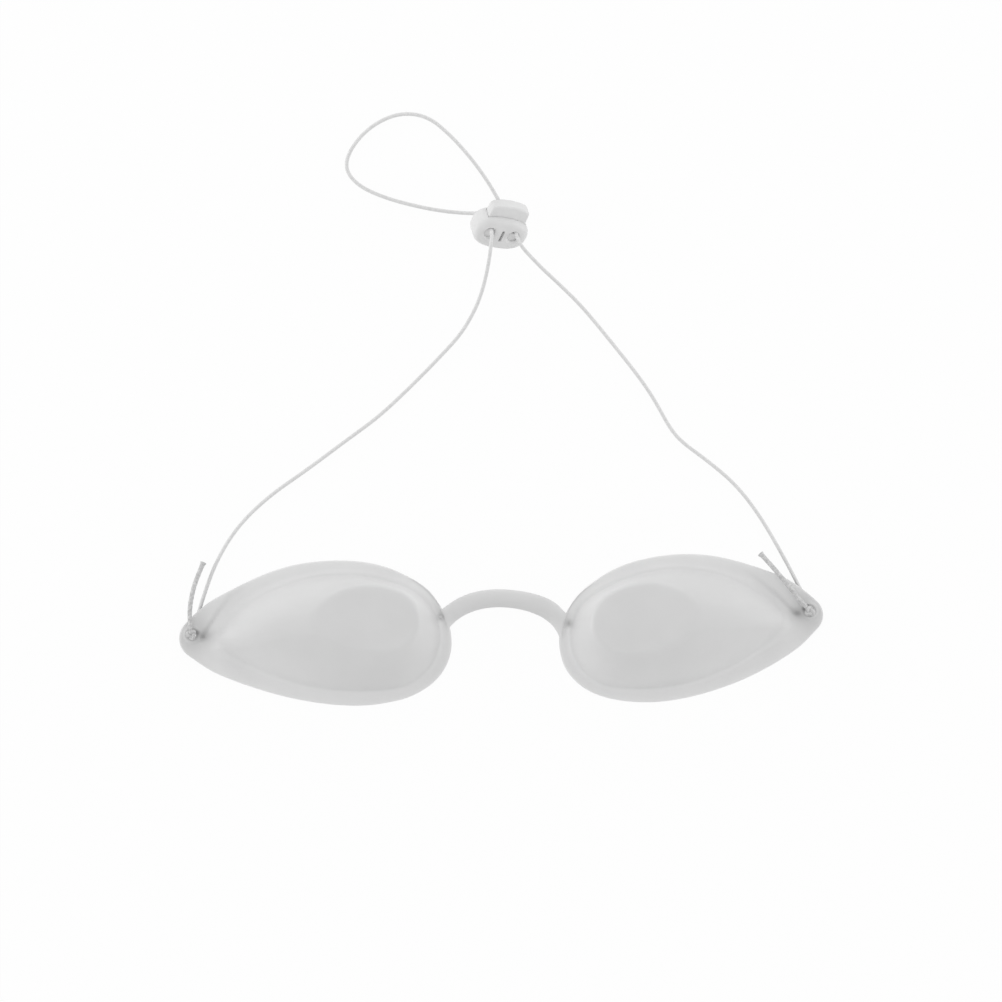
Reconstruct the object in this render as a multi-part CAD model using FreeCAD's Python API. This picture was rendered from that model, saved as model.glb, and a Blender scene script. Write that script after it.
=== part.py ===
import FreeCAD, Part
import math
import os

# Tanning goggles lying on a table, rims down and domes up, in millimetres.
# X runs along the 150 mm width, Y from the cheek side to the brow side, Z up.
# The origin is the bottom centre of the moulded goggles, without the head cord.
V = FreeCAD.Vector

# Rim outline of one eye cup: four tangent arcs between an inner circle and a tip circle
CUP_LENGTH = 62.9
INNER_RADIUS = 15.0
TIP_RADIUS = 5.6
CHEEK_RADIUS = 62.0
BROW_RADIUS = 47.5

# Flat rim round the dome, and how far it shows beyond the dome's foot
RIM_THICKNESS = 1.2
RIM_EDGE_ROUND = 0.35
RIM_INNER = 2.2
RIM_TIP = 6.4
RIM_BROW = 2.5
RIM_CHEEK = 2.4

# Dome with a flat oval crown, nearer to the brow than to the cheek
DOME_HEIGHT = 12.0
DOME_WALL = 1.2
CROWN_LENGTH = 25.0
CROWN_WIDTH = 16.4
CROWN_X = 5.3
CROWN_Y = 3.8
DOME_SWEEP = 68.0
DOME_STEPS = 5

# Ear at the tip: the rim lifts there in an S, so that the cord can pass under it
EAR_RISE = 1.3
EAR_RUN = 8.5
EAR_FLAT = 6.5
HOLE_DIAMETER = 2.0
HOLE_OUT = 2.4
HOLE_UP = 0.7
RING_WIDTH = 1.0
RING_HEIGHT = 0.3

# How the two cups lie in the photograph, each turned a little at the soft bridge
NOSE_GAP = 24.56
MIDDLE_X = 0.17
RIGHT_Y = -1.88
LEFT_Y = -1.66
RIGHT_TURN = 7.4
LEFT_TURN = -0.1

# Nose bridge: a flat arched band between the cups
BRIDGE_WIDTH = 4.4
BRIDGE_THICKNESS = 1.8
BRIDGE_EDGE = 0.5
BRIDGE_RISE = 9.3
BRIDGE_TOP_RUN = 7.6
BRIDGE_SHOULDER_OUT = 9.6
BRIDGE_SHOULDER_DROP = 1.6
BRIDGE_TURN = -3.0
BRIDGE_SEAT_ANGLE = 161.5
BRIDGE_SEAT_DEPTH = 1.5

# Round elastic cord, its knots in front of the tips and its relaxed tails
CORD_DIAMETER = 0.9
TAIL_DIAMETER = 1.1
KNOT_DIAMETER = 2.8
KNOT_HEIGHT = 2.0
KNOT_FOOT = 2.5

# Two-hole cord lock. Its own axes: x from hole to hole, y the way the button
# presses out, z out of the face that looks at the camera
LOCK_LENGTH = 12.4
LOCK_HEIGHT = 7.2
LOCK_DEPTH = 6.5
LOCK_END_RADIUS = 3.3
LOCK_EDGE_ROUND = 1.5
LOCK_HOLE = 2.9
LOCK_SPACING = 5.9
SLIT_WIDTH = 0.8
SLIT_LENGTH = 2.7
BUTTON_WIDTH = 8.4
BUTTON_DEPTH = 4.2
BUTTON_TOP = 5.9
BUTTON_CROWN = 0.8
BUTTON_FIT = 0.06
BUTTON_LIGAMENT = 1.1
BUTTON_ROUND = 0.5
PRESS_TRAVEL = 1.9
PRESS_SPARE = 0.15
SPRING_DIAMETER = 1.9
SPRING_WIRE = 0.3
SPRING_TURNS = 7
SPRING_BORE = 2.3
SPRING_REACH = 4.2

# Where the lock lies: centre, heading of the press axis, its rise and its roll
LOCK_CENTRE = V(-0.5, 93.75, 5.3)
LOCK_HEADING = 26.0
LOCK_RISE = 26.0
LOCK_ROLL = 27.7

# Routes of the cord, chosen by hand along the photograph
LEFT_STRAND = [
    (-1.93, 93.33, 9.54), (-1.48, 92.33, 10.97), (-1.32, 90.72, 11.93), (-1.72, 88.65, 12.2),
    (-2.4, 86.4, 11.35), (-3.3, 82.6, 7.8), (-4.5, 78.4, 3.6), (-6.3, 74.0, 1.2),
    (-9.4, 68.8, 0.52), (-14.6, 63.2, 0.48), (-21.0, 56.7, 0.48), (-28.4, 49.7, 0.48),
    (-36.0, 44.2, 0.48), (-45.2, 37.3, 0.48), (-54.2, 31.1, 0.48), (-61.4, 24.1, 0.48),
    (-66.2, 16.3, 0.48), (-69.2, 8.2, 0.48), (-70.9, 2.3, 0.48), (-71.55, 0.1, 0.6),
    (-71.81, -1.04, 1.3), (-71.81, -1.04, 2.8)]
RIGHT_STRAND_UPPER = [
    (3.29, 92.12, 7.07), (3.74, 91.13, 8.5), (4.57, 89.81, 9.4), (5.75, 88.3, 9.63),
    (7.3, 86.55, 9.0), (9.7, 84.1, 6.8), (12.2, 81.7, 3.6), (14.9, 79.2, 1.4),
    (17.9, 76.3, 0.56), (21.6, 72.1, 0.48), (26.2, 66.4, 0.48), (31.6, 59.7, 0.48),
    (35.6, 53.9, 0.48), (37.6, 50.2, 0.48)]
RIGHT_STRAND_LOWER = [
    (37.6, 50.2, 0.48), (39.4, 46.87, 0.48), (42.2, 43.7, 0.48), (48.0, 39.5, 0.48),
    (54.6, 34.0, 0.48), (60.1, 26.9, 0.48), (65.3, 18.0, 0.48), (69.2, 10.6, 0.48),
    (71.0, 6.9, 0.48), (71.6, 5.5, 0.6), (71.69, 4.57, 1.3), (71.69, 4.57, 2.8)]
CORD_LOOP = [
    (3.29, 92.12, 7.07), (1.5, 96.12, 1.31), (0.9, 97.5, 0.52), (-0.1, 99.3, 0.48),
    (-3.0, 104.4, 0.48), (-6.8, 109.7, 0.48), (-11.6, 115.3, 0.48), (-17.1, 120.0, 0.48),
    (-23.8, 120.9, 0.48), (-30.6, 118.2, 0.48), (-35.6, 113.2, 0.48), (-37.2, 107.8, 0.48),
    (-33.6, 103.6, 0.48), (-27.0, 100.8, 0.48), (-19.0, 98.7, 0.48), (-13.4, 97.8, 0.48),
    (-8.6, 97.85, 0.85), (-6.2, 98.15, 1.8), (-4.7, 98.05, 2.75), (-3.72, 97.32, 3.79),
    (-1.93, 93.33, 9.54)]
LEFT_TAIL = [
    (-71.81, -0.2, 3.7), (-71.9, 2.6, 3.9), (-71.8, 6.0, 3.6), (-71.3, 9.4, 2.7),
    (-70.4, 12.3, 1.7), (-69.3, 15.2, 0.9)]
RIGHT_TAIL = [
    (71.2, 5.2, 3.7), (69.5, 7.0, 3.9), (67.5, 9.9, 3.8), (65.2, 12.6, 3.3),
    (62.8, 15.2, 2.4), (60.6, 17.6, 1.5)]


# Rim outline in the cup's own frame: x from the inner circle to the tip, y to the brow
CENTRES_APART = CUP_LENGTH - INNER_RADIUS - TIP_RADIUS


def enclosing_centre(radius, side):
    """Centre of the arc that holds both end circles from the inside."""
    to_inner = radius - INNER_RADIUS
    to_tip = radius - TIP_RADIUS
    along = (to_inner ** 2 - to_tip ** 2 + CENTRES_APART ** 2) / (2 * CENTRES_APART)
    return V(along, side * math.sqrt(to_inner ** 2 - along ** 2), 0)


INNER_CENTRE = V(0, 0, 0)
TIP_CENTRE = V(CENTRES_APART, 0, 0)
CHEEK_CENTRE = enclosing_centre(CHEEK_RADIUS, 1)
BROW_CENTRE = enclosing_centre(BROW_RADIUS, -1)


def heading(start, end):
    return math.atan2(end.y - start.y, end.x - start.x)


NORMALS = [
    heading(BROW_CENTRE, INNER_CENTRE),
    heading(CHEEK_CENTRE, INNER_CENTRE) + 2 * math.pi,
    heading(CHEEK_CENTRE, TIP_CENTRE) + 2 * math.pi,
    heading(BROW_CENTRE, TIP_CENTRE) + 2 * math.pi,
    heading(BROW_CENTRE, INNER_CENTRE) + 2 * math.pi]
ARCS = [
    (INNER_CENTRE, INNER_RADIUS), (CHEEK_CENTRE, CHEEK_RADIUS),
    (TIP_CENTRE, TIP_RADIUS), (BROW_CENTRE, BROW_RADIUS)]
TOP_Y = BROW_CENTRE.y + BROW_RADIUS
BOTTOM_Y = CHEEK_CENTRE.y - CHEEK_RADIUS
OUTLINE_WIDTH = TOP_Y - BOTTOM_Y
OUTLINE_MIDDLE = V((CENTRES_APART + TIP_RADIUS - INNER_RADIUS) / 2, (TOP_Y + BOTTOM_Y) / 2, 0)


def family(length, width, middle):
    """Scale, growth and shift that turn the rim outline into one of this length and width."""
    scale = (length - width) / (CUP_LENGTH - OUTLINE_WIDTH)
    grow = (width - scale * OUTLINE_WIDTH) / 2
    return scale, grow, middle - OUTLINE_MIDDLE * scale


def outline(scale, grow, shift, z):
    """Closed wire of the scaled rim outline, grown outward, at one height."""
    edges = []
    for (centre, radius), start, end in zip(ARCS, NORMALS, NORMALS[1:]):
        middle = centre * scale + shift + V(0, 0, z)
        reach = radius * scale + grow
        points = [middle + V(math.cos(a), math.sin(a), 0) * reach
                  for a in (start, (start + end) / 2, end)]
        edges.append(Part.Arc(*points).toShape())
    return Part.Wire(edges)


RIM = (1.0, 0.0, V(0, 0, 0))
FOOT = family(
    CUP_LENGTH - RIM_INNER - RIM_TIP, OUTLINE_WIDTH - RIM_BROW - RIM_CHEEK,
    OUTLINE_MIDDLE + V((RIM_INNER - RIM_TIP) / 2, (RIM_CHEEK - RIM_BROW) / 2, 0))
CROWN = family(CROWN_LENGTH, CROWN_WIDTH, V(CROWN_X, CROWN_Y, 0))


def dome(inset, height):
    """Solid dome from its foot at z = 0 to its flat crown, the whole drawn in by inset."""
    sections = []
    for step in range(DOME_STEPS + 1):
        angle = math.radians(DOME_SWEEP * step / DOME_STEPS)
        blend = (1 - math.cos(angle)) / (1 - math.cos(math.radians(DOME_SWEEP)))
        z = height * math.sin(angle) / math.sin(math.radians(DOME_SWEEP))
        scale = FOOT[0] + (CROWN[0] - FOOT[0]) * blend
        grow = FOOT[1] + (CROWN[1] - FOOT[1]) * blend - inset
        shift = FOOT[2] + (CROWN[2] - FOOT[2]) * blend
        sections.append(outline(scale, grow, shift, z))
    return Part.makeLoft(sections, True, False)


TIP_X = CENTRES_APART + TIP_RADIUS
EAR_END = TIP_X - EAR_FLAT
EAR_START = EAR_END - EAR_RUN
EAR_HALF_ANGLE = math.atan(EAR_RISE / EAR_RUN)


def ear_line(z):
    """The S of the lifted ear seen from the side, from the flat rim to past the tip."""
    turn = 2 * EAR_HALF_ANGLE
    radius = EAR_RUN / (2 * math.sin(turn))
    middle = V((EAR_START + EAR_END) / 2, 0, z + EAR_RISE / 2)
    low = V(EAR_START + radius * math.sin(turn / 2), 0, z + radius * (1 - math.cos(turn / 2)))
    high = V(EAR_END - radius * math.sin(turn / 2), 0,
             z + EAR_RISE - radius * (1 - math.cos(turn / 2)))
    start = V(EAR_START, 0, z)
    end = V(EAR_END, 0, z + EAR_RISE)
    return [
        Part.LineSegment(V(-2 * INNER_RADIUS, 0, z), start).toShape(),
        Part.Arc(start, low, middle).toShape(),
        Part.Arc(middle, high, end).toShape(),
        Part.LineSegment(end, V(TIP_X + INNER_RADIUS, 0, z + EAR_RISE)).toShape()]


def band(bottom, top):
    """Everything between two heights that follow the ear's S, wide enough for the cup."""
    low = ear_line(bottom)
    high = ear_line(top)
    ends = [(low[0].Vertexes[0].Point, high[0].Vertexes[0].Point),
            (low[-1].Vertexes[-1].Point, high[-1].Vertexes[-1].Point)]
    sides = [Part.LineSegment(a, b).toShape() for a, b in ends]
    wire = Part.Wire(Part.__sortEdges__(low + high + sides))
    face = Part.Face(wire)
    face.translate(V(0, -2 * OUTLINE_WIDTH, 0))
    return face.extrude(V(0, 4 * OUTLINE_WIDTH, 0))


def prism(shape, bottom, top):
    """Upright prism over one outline."""
    face = Part.Face(outline(*shape, bottom))
    return face.extrude(V(0, 0, top - bottom))


HOLE_PLACE = TIP_CENTRE + V(HOLE_OUT, HOLE_UP, 0)
EAR_TOP = EAR_RISE + RIM_THICKNESS
KNOT_BASE = EAR_TOP + RING_HEIGHT


def eye_cup():
    """One cup in its own frame: rim, hollow dome, ear, raised ring and cord hole."""
    rim = prism(RIM, -DOME_HEIGHT, DOME_HEIGHT).common(band(0, RIM_THICKNESS))
    edges = [e for e in rim.Edges if abs(e.Vertexes[0].Point.z - e.Vertexes[-1].Point.z) < EAR_TOP
             and not is_upright(e)]
    rim = rim.makeFillet(RIM_EDGE_ROUND, edges)
    cup = rim.fuse(dome(0, DOME_HEIGHT))
    inside = (FOOT[0], FOOT[1] - DOME_WALL, FOOT[2])
    cup = cup.cut(dome(DOME_WALL, DOME_HEIGHT - DOME_WALL))
    cup = cup.cut(prism(inside, -DOME_HEIGHT, 0))
    cup = cup.cut(band(-DOME_HEIGHT, 0))
    ring = Part.makeCylinder(
        HOLE_DIAMETER / 2 + RING_WIDTH, RIM_THICKNESS / 2 + RING_HEIGHT,
        HOLE_PLACE + V(0, 0, EAR_TOP - RIM_THICKNESS / 2))
    ring = ring.makeFillet(RING_HEIGHT * 0.8, [highest_edge(ring)])
    cup = cup.fuse(ring)
    hole = Part.makeCylinder(HOLE_DIAMETER / 2, 2 * EAR_TOP, HOLE_PLACE)
    return cup.cut(hole).removeSplitter()


def is_upright(edge):
    start = edge.Vertexes[0].Point
    end = edge.Vertexes[-1].Point
    return math.hypot(end.x - start.x, end.y - start.y) < 0.01 and abs(end.z - start.z) > 0.1


def highest_edge(shape):
    return max(shape.Edges, key=lambda edge: edge.BoundBox.ZMin)


RIGHT_CENTRE = V(MIDDLE_X + NOSE_GAP / 2 + INNER_RADIUS, RIGHT_Y, 0)
LEFT_CENTRE = V(MIDDLE_X - NOSE_GAP / 2 - INNER_RADIUS, LEFT_Y, 0)


def place_right(shape):
    placed = shape.copy()
    placed.rotate(V(0, 0, 0), V(0, 0, 1), RIGHT_TURN)
    placed.translate(RIGHT_CENTRE)
    return placed


def place_left(shape):
    placed = shape.mirror(V(0, 0, 0), V(1, 0, 0))
    placed.rotate(V(0, 0, 0), V(0, 0, 1), -LEFT_TURN)
    placed.translate(LEFT_CENTRE)
    return placed


# Paths of straight runs joined by tangent arcs
def rounded_path(points, name):
    """Wire through the points with each corner rounded as far as its runs allow."""
    points = [V(*p) for p in points]
    edges = []
    radii = []
    start = points[0]
    for before, corner, after in zip(points, points[1:], points[2:]):
        into = (corner - before).normalize()
        out = (after - corner).normalize()
        half = into.getAngle(out) / 2
        trim = 0.45 * min((corner - before).Length, (after - corner).Length)
        radii.append(trim / math.tan(half))
        first = corner - into * trim
        last = corner + out * trim
        inward = (out - into).normalize()
        to_centre = radii[-1] / math.cos(half)
        middle = corner + inward * (to_centre - radii[-1])
        edges.append(Part.LineSegment(start, first).toShape())
        edges.append(Part.Arc(first, middle, last).toShape())
        start = last
    edges.append(Part.LineSegment(start, points[-1]).toShape())
    print(name, "radii", [round(r, 1) for r in radii])
    return Part.Wire(edges)


def tube(points, diameter, name):
    """Round cord along its route."""
    path = rounded_path(points, name)
    start = V(*points[0])
    along = V(*points[1]) - start
    circle = Part.Wire(Part.Circle(start, along, diameter / 2).toShape())
    solid = path.makePipeShell([circle], True, False)
    expected = math.pi * diameter ** 2 / 4 * path.Length
    print(name, "length", round(path.Length, 1), "volume ratio", round(solid.Volume / expected, 4))
    return solid


# Nose bridge
def seat(centre, mirror, turn):
    """Point inside a cup's inner end where the bridge's middle line starts."""
    reach = INNER_RADIUS - BRIDGE_SEAT_DEPTH
    angle = math.radians(BRIDGE_SEAT_ANGLE + turn)
    return centre + V(mirror * reach * math.cos(angle), reach * math.sin(angle), 0)


def nose_bridge():
    apex = V(MIDDLE_X, (RIGHT_Y + LEFT_Y) / 2 + BRIDGE_RISE, 0)
    offsets = [(-BRIDGE_SHOULDER_OUT, -BRIDGE_SHOULDER_DROP), (-BRIDGE_TOP_RUN / 2, 0),
               (BRIDGE_TOP_RUN / 2, 0), (BRIDGE_SHOULDER_OUT, -BRIDGE_SHOULDER_DROP)]
    turn = FreeCAD.Rotation(V(0, 0, 1), BRIDGE_TURN)
    route = [seat(LEFT_CENTRE, -1, LEFT_TURN)]
    route += [apex + turn.multVec(V(x, y, 0)) for x, y in offsets]
    route += [seat(RIGHT_CENTRE, 1, RIGHT_TURN)]
    path = rounded_path(route, "nose_bridge")
    forward = (route[1] - route[0]).normalize()
    side = V(-forward.y, forward.x, 0)
    corners = []
    half = BRIDGE_WIDTH / 2
    for x, z in ((-half, 0), (half, 0), (half, BRIDGE_THICKNESS), (-half, BRIDGE_THICKNESS)):
        corners.append(route[0] + side * x + V(0, 0, z))
    section = Part.makePolygon(corners + corners[:1])
    bar = path.makePipeShell([section], True, False)
    upper = [e for e in bar.Edges if e.BoundBox.ZMin > BRIDGE_THICKNESS - 0.01
             and not touches_end(e, route)]
    bar = bar.makeFillet(BRIDGE_EDGE, upper)
    for outside in (place_left(prism(RIM, -1, DOME_HEIGHT)),
                    place_right(prism(RIM, -1, DOME_HEIGHT))):
        bar = bar.cut(outside)
    return max(bar.Solids, key=lambda solid: solid.Volume)


def touches_end(edge, route):
    """True for the edges across the two ends of the bar."""
    middle = edge.BoundBox.Center
    flat_ends = [V(p.x, p.y, middle.z) for p in (route[0], route[-1])]
    return min((middle - p).Length for p in flat_ends) < 0.1


# Knots
def knot(place):
    """Outer shape of the overhand knot that holds the cord in front of the ear."""
    foot = KNOT_FOOT / 2
    belly = KNOT_DIAMETER / 2
    top = KNOT_DIAMETER / 4
    side = Part.Arc(V(foot, 0, 0), V(belly, 0, KNOT_HEIGHT * 0.45), V(top, 0, KNOT_HEIGHT))
    edges = [Part.LineSegment(V(0, 0, 0), V(foot, 0, 0)).toShape(), side.toShape(),
             Part.LineSegment(V(top, 0, KNOT_HEIGHT), V(0, 0, KNOT_HEIGHT)).toShape(),
             Part.LineSegment(V(0, 0, KNOT_HEIGHT), V(0, 0, 0)).toShape()]
    solid = Part.Face(Part.Wire(edges)).revolve(V(0, 0, 0), V(0, 0, 1), 360)
    solid.translate(V(place.x, place.y, KNOT_BASE))
    return solid


# Cord lock in its own frame
def plate(length, height, end_radius, side_radius):
    """Closed wire of a long oval: two end circles inside two wide arcs."""
    out = length / 2 - end_radius
    deep = side_radius - height / 2
    turn = math.atan2(out, deep)
    corner = V(out + end_radius * math.sin(turn), end_radius * math.cos(turn), 0)
    ends = [V(corner.x, corner.y, 0), V(length / 2, 0, 0), V(corner.x, -corner.y, 0)]
    arcs = [
        Part.Arc(*ends),
        Part.Arc(ends[2], V(0, -height / 2, 0), V(-corner.x, -corner.y, 0)),
        Part.Arc(*[V(-p.x, p.y, 0) for p in reversed(ends)]),
        Part.Arc(V(-corner.x, corner.y, 0), V(0, height / 2, 0), ends[0])]
    return Part.Wire([arc.toShape() for arc in arcs])


def side_radius_for(length, height, end_radius):
    """Radius of the wide arcs that touch both end circles and leave this height."""
    out = length / 2 - end_radius
    short = height / 2 - end_radius
    return (out ** 2 + short ** 2) / (2 * short) + end_radius


PIN_HOLE_Y = PRESS_TRAVEL
BUTTON_FOOT = PIN_HOLE_Y - LOCK_HOLE / 2 - BUTTON_LIGAMENT
POCKET_FLOOR = BUTTON_FOOT - PRESS_TRAVEL - PRESS_SPARE


def cord_holes(y):
    holes = [Part.makeCylinder(LOCK_HOLE / 2, 2 * LOCK_DEPTH, V(x, y, -LOCK_DEPTH))
             for x in (-LOCK_SPACING / 2, LOCK_SPACING / 2)]
    return holes[0].fuse(holes[1])


def slit(length, y):
    """Narrow slot with round ends through the middle of the lock, along its press axis."""
    reach = length / 2 - SLIT_WIDTH / 2
    solid = Part.makeBox(SLIT_WIDTH, 2 * reach, 2 * LOCK_DEPTH,
                         V(-SLIT_WIDTH / 2, y - reach, -LOCK_DEPTH))
    for end in (y - reach, y + reach):
        solid = solid.fuse(Part.makeCylinder(
            SLIT_WIDTH / 2, 2 * LOCK_DEPTH, V(0, end, -LOCK_DEPTH)))
    return solid


def lock_body():
    radius = side_radius_for(LOCK_LENGTH, LOCK_HEIGHT, LOCK_END_RADIUS)
    wire = plate(LOCK_LENGTH, LOCK_HEIGHT, LOCK_END_RADIUS, radius)
    wire.translate(V(0, 0, -LOCK_DEPTH / 2))
    body = Part.Face(wire).extrude(V(0, 0, LOCK_DEPTH))
    flat_edges = [e for e in body.Edges if abs(e.BoundBox.ZMax - e.BoundBox.ZMin) < 0.01]
    body = body.makeFillet(LOCK_EDGE_ROUND, flat_edges)
    width = BUTTON_WIDTH + 2 * BUTTON_FIT
    depth = BUTTON_DEPTH + 2 * BUTTON_FIT
    pocket = Part.makeBox(width, LOCK_HEIGHT, depth, V(-width / 2, POCKET_FLOOR, -depth / 2))
    pocket = round_corners(pocket, BUTTON_ROUND + BUTTON_FIT)
    body = body.cut(pocket)
    body = body.cut(cord_holes(0))
    return body.cut(slit(SLIT_LENGTH, 0))


def round_corners(block, radius):
    """Rounds the four edges that run along the press axis."""
    edges = [e for e in block.Edges if abs(e.BoundBox.YMax - e.BoundBox.YMin) > radius * 2
             and e.BoundBox.XMax - e.BoundBox.XMin < 0.01
             and e.BoundBox.ZMax - e.BoundBox.ZMin < 0.01]
    return block.makeFillet(radius, edges)


def lock_button():
    block = Part.makeBox(BUTTON_WIDTH, BUTTON_TOP - BUTTON_FOOT, BUTTON_DEPTH,
                         V(-BUTTON_WIDTH / 2, BUTTON_FOOT, -BUTTON_DEPTH / 2))
    crown_radius = (BUTTON_WIDTH ** 2 / 4 + BUTTON_CROWN ** 2) / (2 * BUTTON_CROWN)
    crown = Part.makeCylinder(crown_radius, 2 * LOCK_DEPTH,
                              V(0, BUTTON_TOP - crown_radius, -LOCK_DEPTH))
    block = round_corners(block, BUTTON_ROUND).common(crown)
    block = block.cut(cord_holes(PIN_HOLE_Y))
    block = block.cut(slit(SLIT_LENGTH + PRESS_TRAVEL, PRESS_TRAVEL / 2))
    bore = Part.makeCylinder(SPRING_BORE / 2, SPRING_REACH, V(0, BUTTON_FOOT, 0), V(0, 1, 0))
    return block.cut(bore)


def biarc(start, start_way, end, end_way):
    """Two arcs that leave start along start_way and reach end along end_way."""
    span = end - start
    ways = start_way + end_way
    across = span.dot(ways)
    spread = 2 * (1 - start_way.dot(end_way))
    reach = (-across + math.sqrt(across ** 2 + spread * span.dot(span))) / spread
    first = start + start_way * reach
    last = end - end_way * reach
    joint = (first + last) / 2
    arcs = []
    for a, corner, b in ((start, first, joint), (joint, last, end)):
        into = (corner - a).normalize()
        out = (b - corner).normalize()
        half = into.getAngle(out) / 2
        radius = reach / math.tan(half)
        inward = (out - into).normalize()
        middle = corner + inward * (radius / math.cos(half) - radius)
        arcs.append(Part.Arc(a, middle, b).toShape())
    return arcs


def least_gap(point, turns):
    """Least clear distance of a coil to itself, on points at least half a turn apart."""
    steps = 24
    places = [point(2 * math.pi * k / steps) for k in range(steps * turns + 1)]
    nearest = min((places[b] - places[a]).Length
                  for a in range(len(places)) for b in range(a + steps // 2, len(places)))
    return nearest - SPRING_WIRE


def lock_spring():
    """Coil spring between the pocket's floor and the top of the button's bore."""
    length = BUTTON_FOOT + SPRING_REACH - POCKET_FLOOR - SPRING_WIRE
    radius = (SPRING_DIAMETER - SPRING_WIRE) / 2
    rise = length / (2 * math.pi * SPRING_TURNS)
    edges = []
    quarters = 4 * SPRING_TURNS

    def point(turn):
        return V(radius * math.cos(turn), POCKET_FLOOR + SPRING_WIRE / 2 + rise * turn,
                 -radius * math.sin(turn))

    def way(turn):
        return V(-radius * math.sin(turn), rise, -radius * math.cos(turn)).normalize()

    for quarter in range(quarters):
        a = quarter * math.pi / 2
        b = a + math.pi / 2
        edges += biarc(point(a), way(a), point(b), way(b))
    path = Part.Wire(edges)
    circle = Part.Wire(Part.Circle(point(0), way(0), SPRING_WIRE / 2).toShape())
    print("lock_spring least gap between turns", round(least_gap(point, SPRING_TURNS), 2))
    return path.makePipeShell([circle], True, False)


def lock_axes():
    """Directions of the lock's own x, y and z axes on the table."""
    h = math.radians(LOCK_HEADING)
    rise = math.radians(LOCK_RISE)
    press = V(math.cos(rise) * math.sin(h), math.cos(rise) * math.cos(h), math.sin(rise))
    level = V(math.cos(h), -math.sin(h), 0)
    up = press.cross(level)
    roll = math.radians(LOCK_ROLL)
    along = level * math.cos(roll) + up * math.sin(roll)
    return along, press, along.cross(press)


def place_lock(shape):
    x, y, z = lock_axes()
    placed = shape.copy()
    matrix = FreeCAD.Matrix(x.x, y.x, z.x, LOCK_CENTRE.x, x.y, y.y, z.y, LOCK_CENTRE.y,
                            x.z, y.z, z.z, LOCK_CENTRE.z, 0, 0, 0, 1)
    placed.Placement = FreeCAD.Placement(matrix)
    return placed


def main():
    cup = eye_cup()
    turn = FreeCAD.Rotation(V(0, 0, 1), RIGHT_TURN)
    right_hole = RIGHT_CENTRE + turn.multVec(HOLE_PLACE)
    turn = FreeCAD.Rotation(V(0, 0, 1), -LEFT_TURN)
    left_hole = LEFT_CENTRE + turn.multVec(V(-HOLE_PLACE.x, HOLE_PLACE.y, 0))
    print("holes", left_hole, right_hole)
    print("lock axes", lock_axes())
    left_knot = knot(left_hole)
    right_knot = knot(right_hole)
    pieces = {
        "left_eye_cup": place_left(cup),
        "right_eye_cup": place_right(cup),
        "nose_bridge": nose_bridge(),
        "left_strand": tube(LEFT_STRAND, CORD_DIAMETER, "left_strand"),
        "right_strand_upper": tube(RIGHT_STRAND_UPPER, CORD_DIAMETER, "right_strand_upper"),
        "right_strand_lower": tube(RIGHT_STRAND_LOWER, CORD_DIAMETER, "right_strand_lower"),
        "cord_loop": tube(CORD_LOOP, CORD_DIAMETER, "cord_loop"),
        "left_knot": left_knot,
        "right_knot": right_knot,
        "left_tail": tube(LEFT_TAIL, TAIL_DIAMETER, "left_tail").cut(left_knot),
        "right_tail": tube(RIGHT_TAIL, TAIL_DIAMETER, "right_tail").cut(right_knot),
        "lock_body": place_lock(lock_body()),
        "lock_button": place_lock(lock_button()),
        "lock_spring": place_lock(lock_spring())}
    os.makedirs("parts", exist_ok=True)
    for name, shape in pieces.items():
        if len(shape.Solids) == 1:
            shape = shape.Solids[0]
        box = shape.BoundBox
        print(name, shape.ShapeType, "solids", len(shape.Solids), "valid", shape.isValid(),
              "volume", round(shape.Volume, 2),
              "box", [round(v, 2) for v in (box.XMin, box.XMax, box.YMin, box.YMax,
                                            box.ZMin, box.ZMax)])
        shape.exportStep("parts/" + name + ".step")


main()
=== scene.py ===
# %% [markdown]
# # Tanning goggles on an elastic head cord
# The object is one soft moulding, two eye cups joined by a nose bridge, worn with a thin elastic cord.
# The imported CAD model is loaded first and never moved. Every new piece is written in its frame, in
# metres: X along the two cups, Y from the cheek side to the brow side, Z up from the table.

# %% Load the fixed frame
import bpy
import bmesh
import math
import numpy as np
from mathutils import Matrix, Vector


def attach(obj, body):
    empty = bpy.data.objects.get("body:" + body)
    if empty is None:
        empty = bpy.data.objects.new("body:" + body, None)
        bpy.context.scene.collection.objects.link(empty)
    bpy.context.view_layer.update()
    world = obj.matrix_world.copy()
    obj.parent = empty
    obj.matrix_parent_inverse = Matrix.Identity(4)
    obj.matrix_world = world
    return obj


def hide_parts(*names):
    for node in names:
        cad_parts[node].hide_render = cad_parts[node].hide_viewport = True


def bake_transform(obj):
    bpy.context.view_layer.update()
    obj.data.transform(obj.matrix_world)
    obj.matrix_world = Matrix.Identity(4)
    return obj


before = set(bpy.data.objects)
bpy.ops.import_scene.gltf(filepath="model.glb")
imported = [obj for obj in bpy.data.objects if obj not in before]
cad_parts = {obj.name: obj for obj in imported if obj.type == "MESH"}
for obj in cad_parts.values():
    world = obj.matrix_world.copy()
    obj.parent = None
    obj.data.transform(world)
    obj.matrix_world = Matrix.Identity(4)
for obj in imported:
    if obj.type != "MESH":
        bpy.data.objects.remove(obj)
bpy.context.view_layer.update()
MM = 0.001

# %% [markdown]
# ## Camera
# The photograph looks straight down and shows 233.4 mm across its 1002 pixels. A long lens from two
# metres keeps the tall domes from leaning outward, as they hardly do in the photograph.

# %% Camera straight above the object
def add_object(name, data):
    """Object at the origin that shows the data, linked to the scene."""
    thing = bpy.data.objects.new(name, data)
    bpy.context.scene.collection.objects.link(thing)
    return thing


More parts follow.
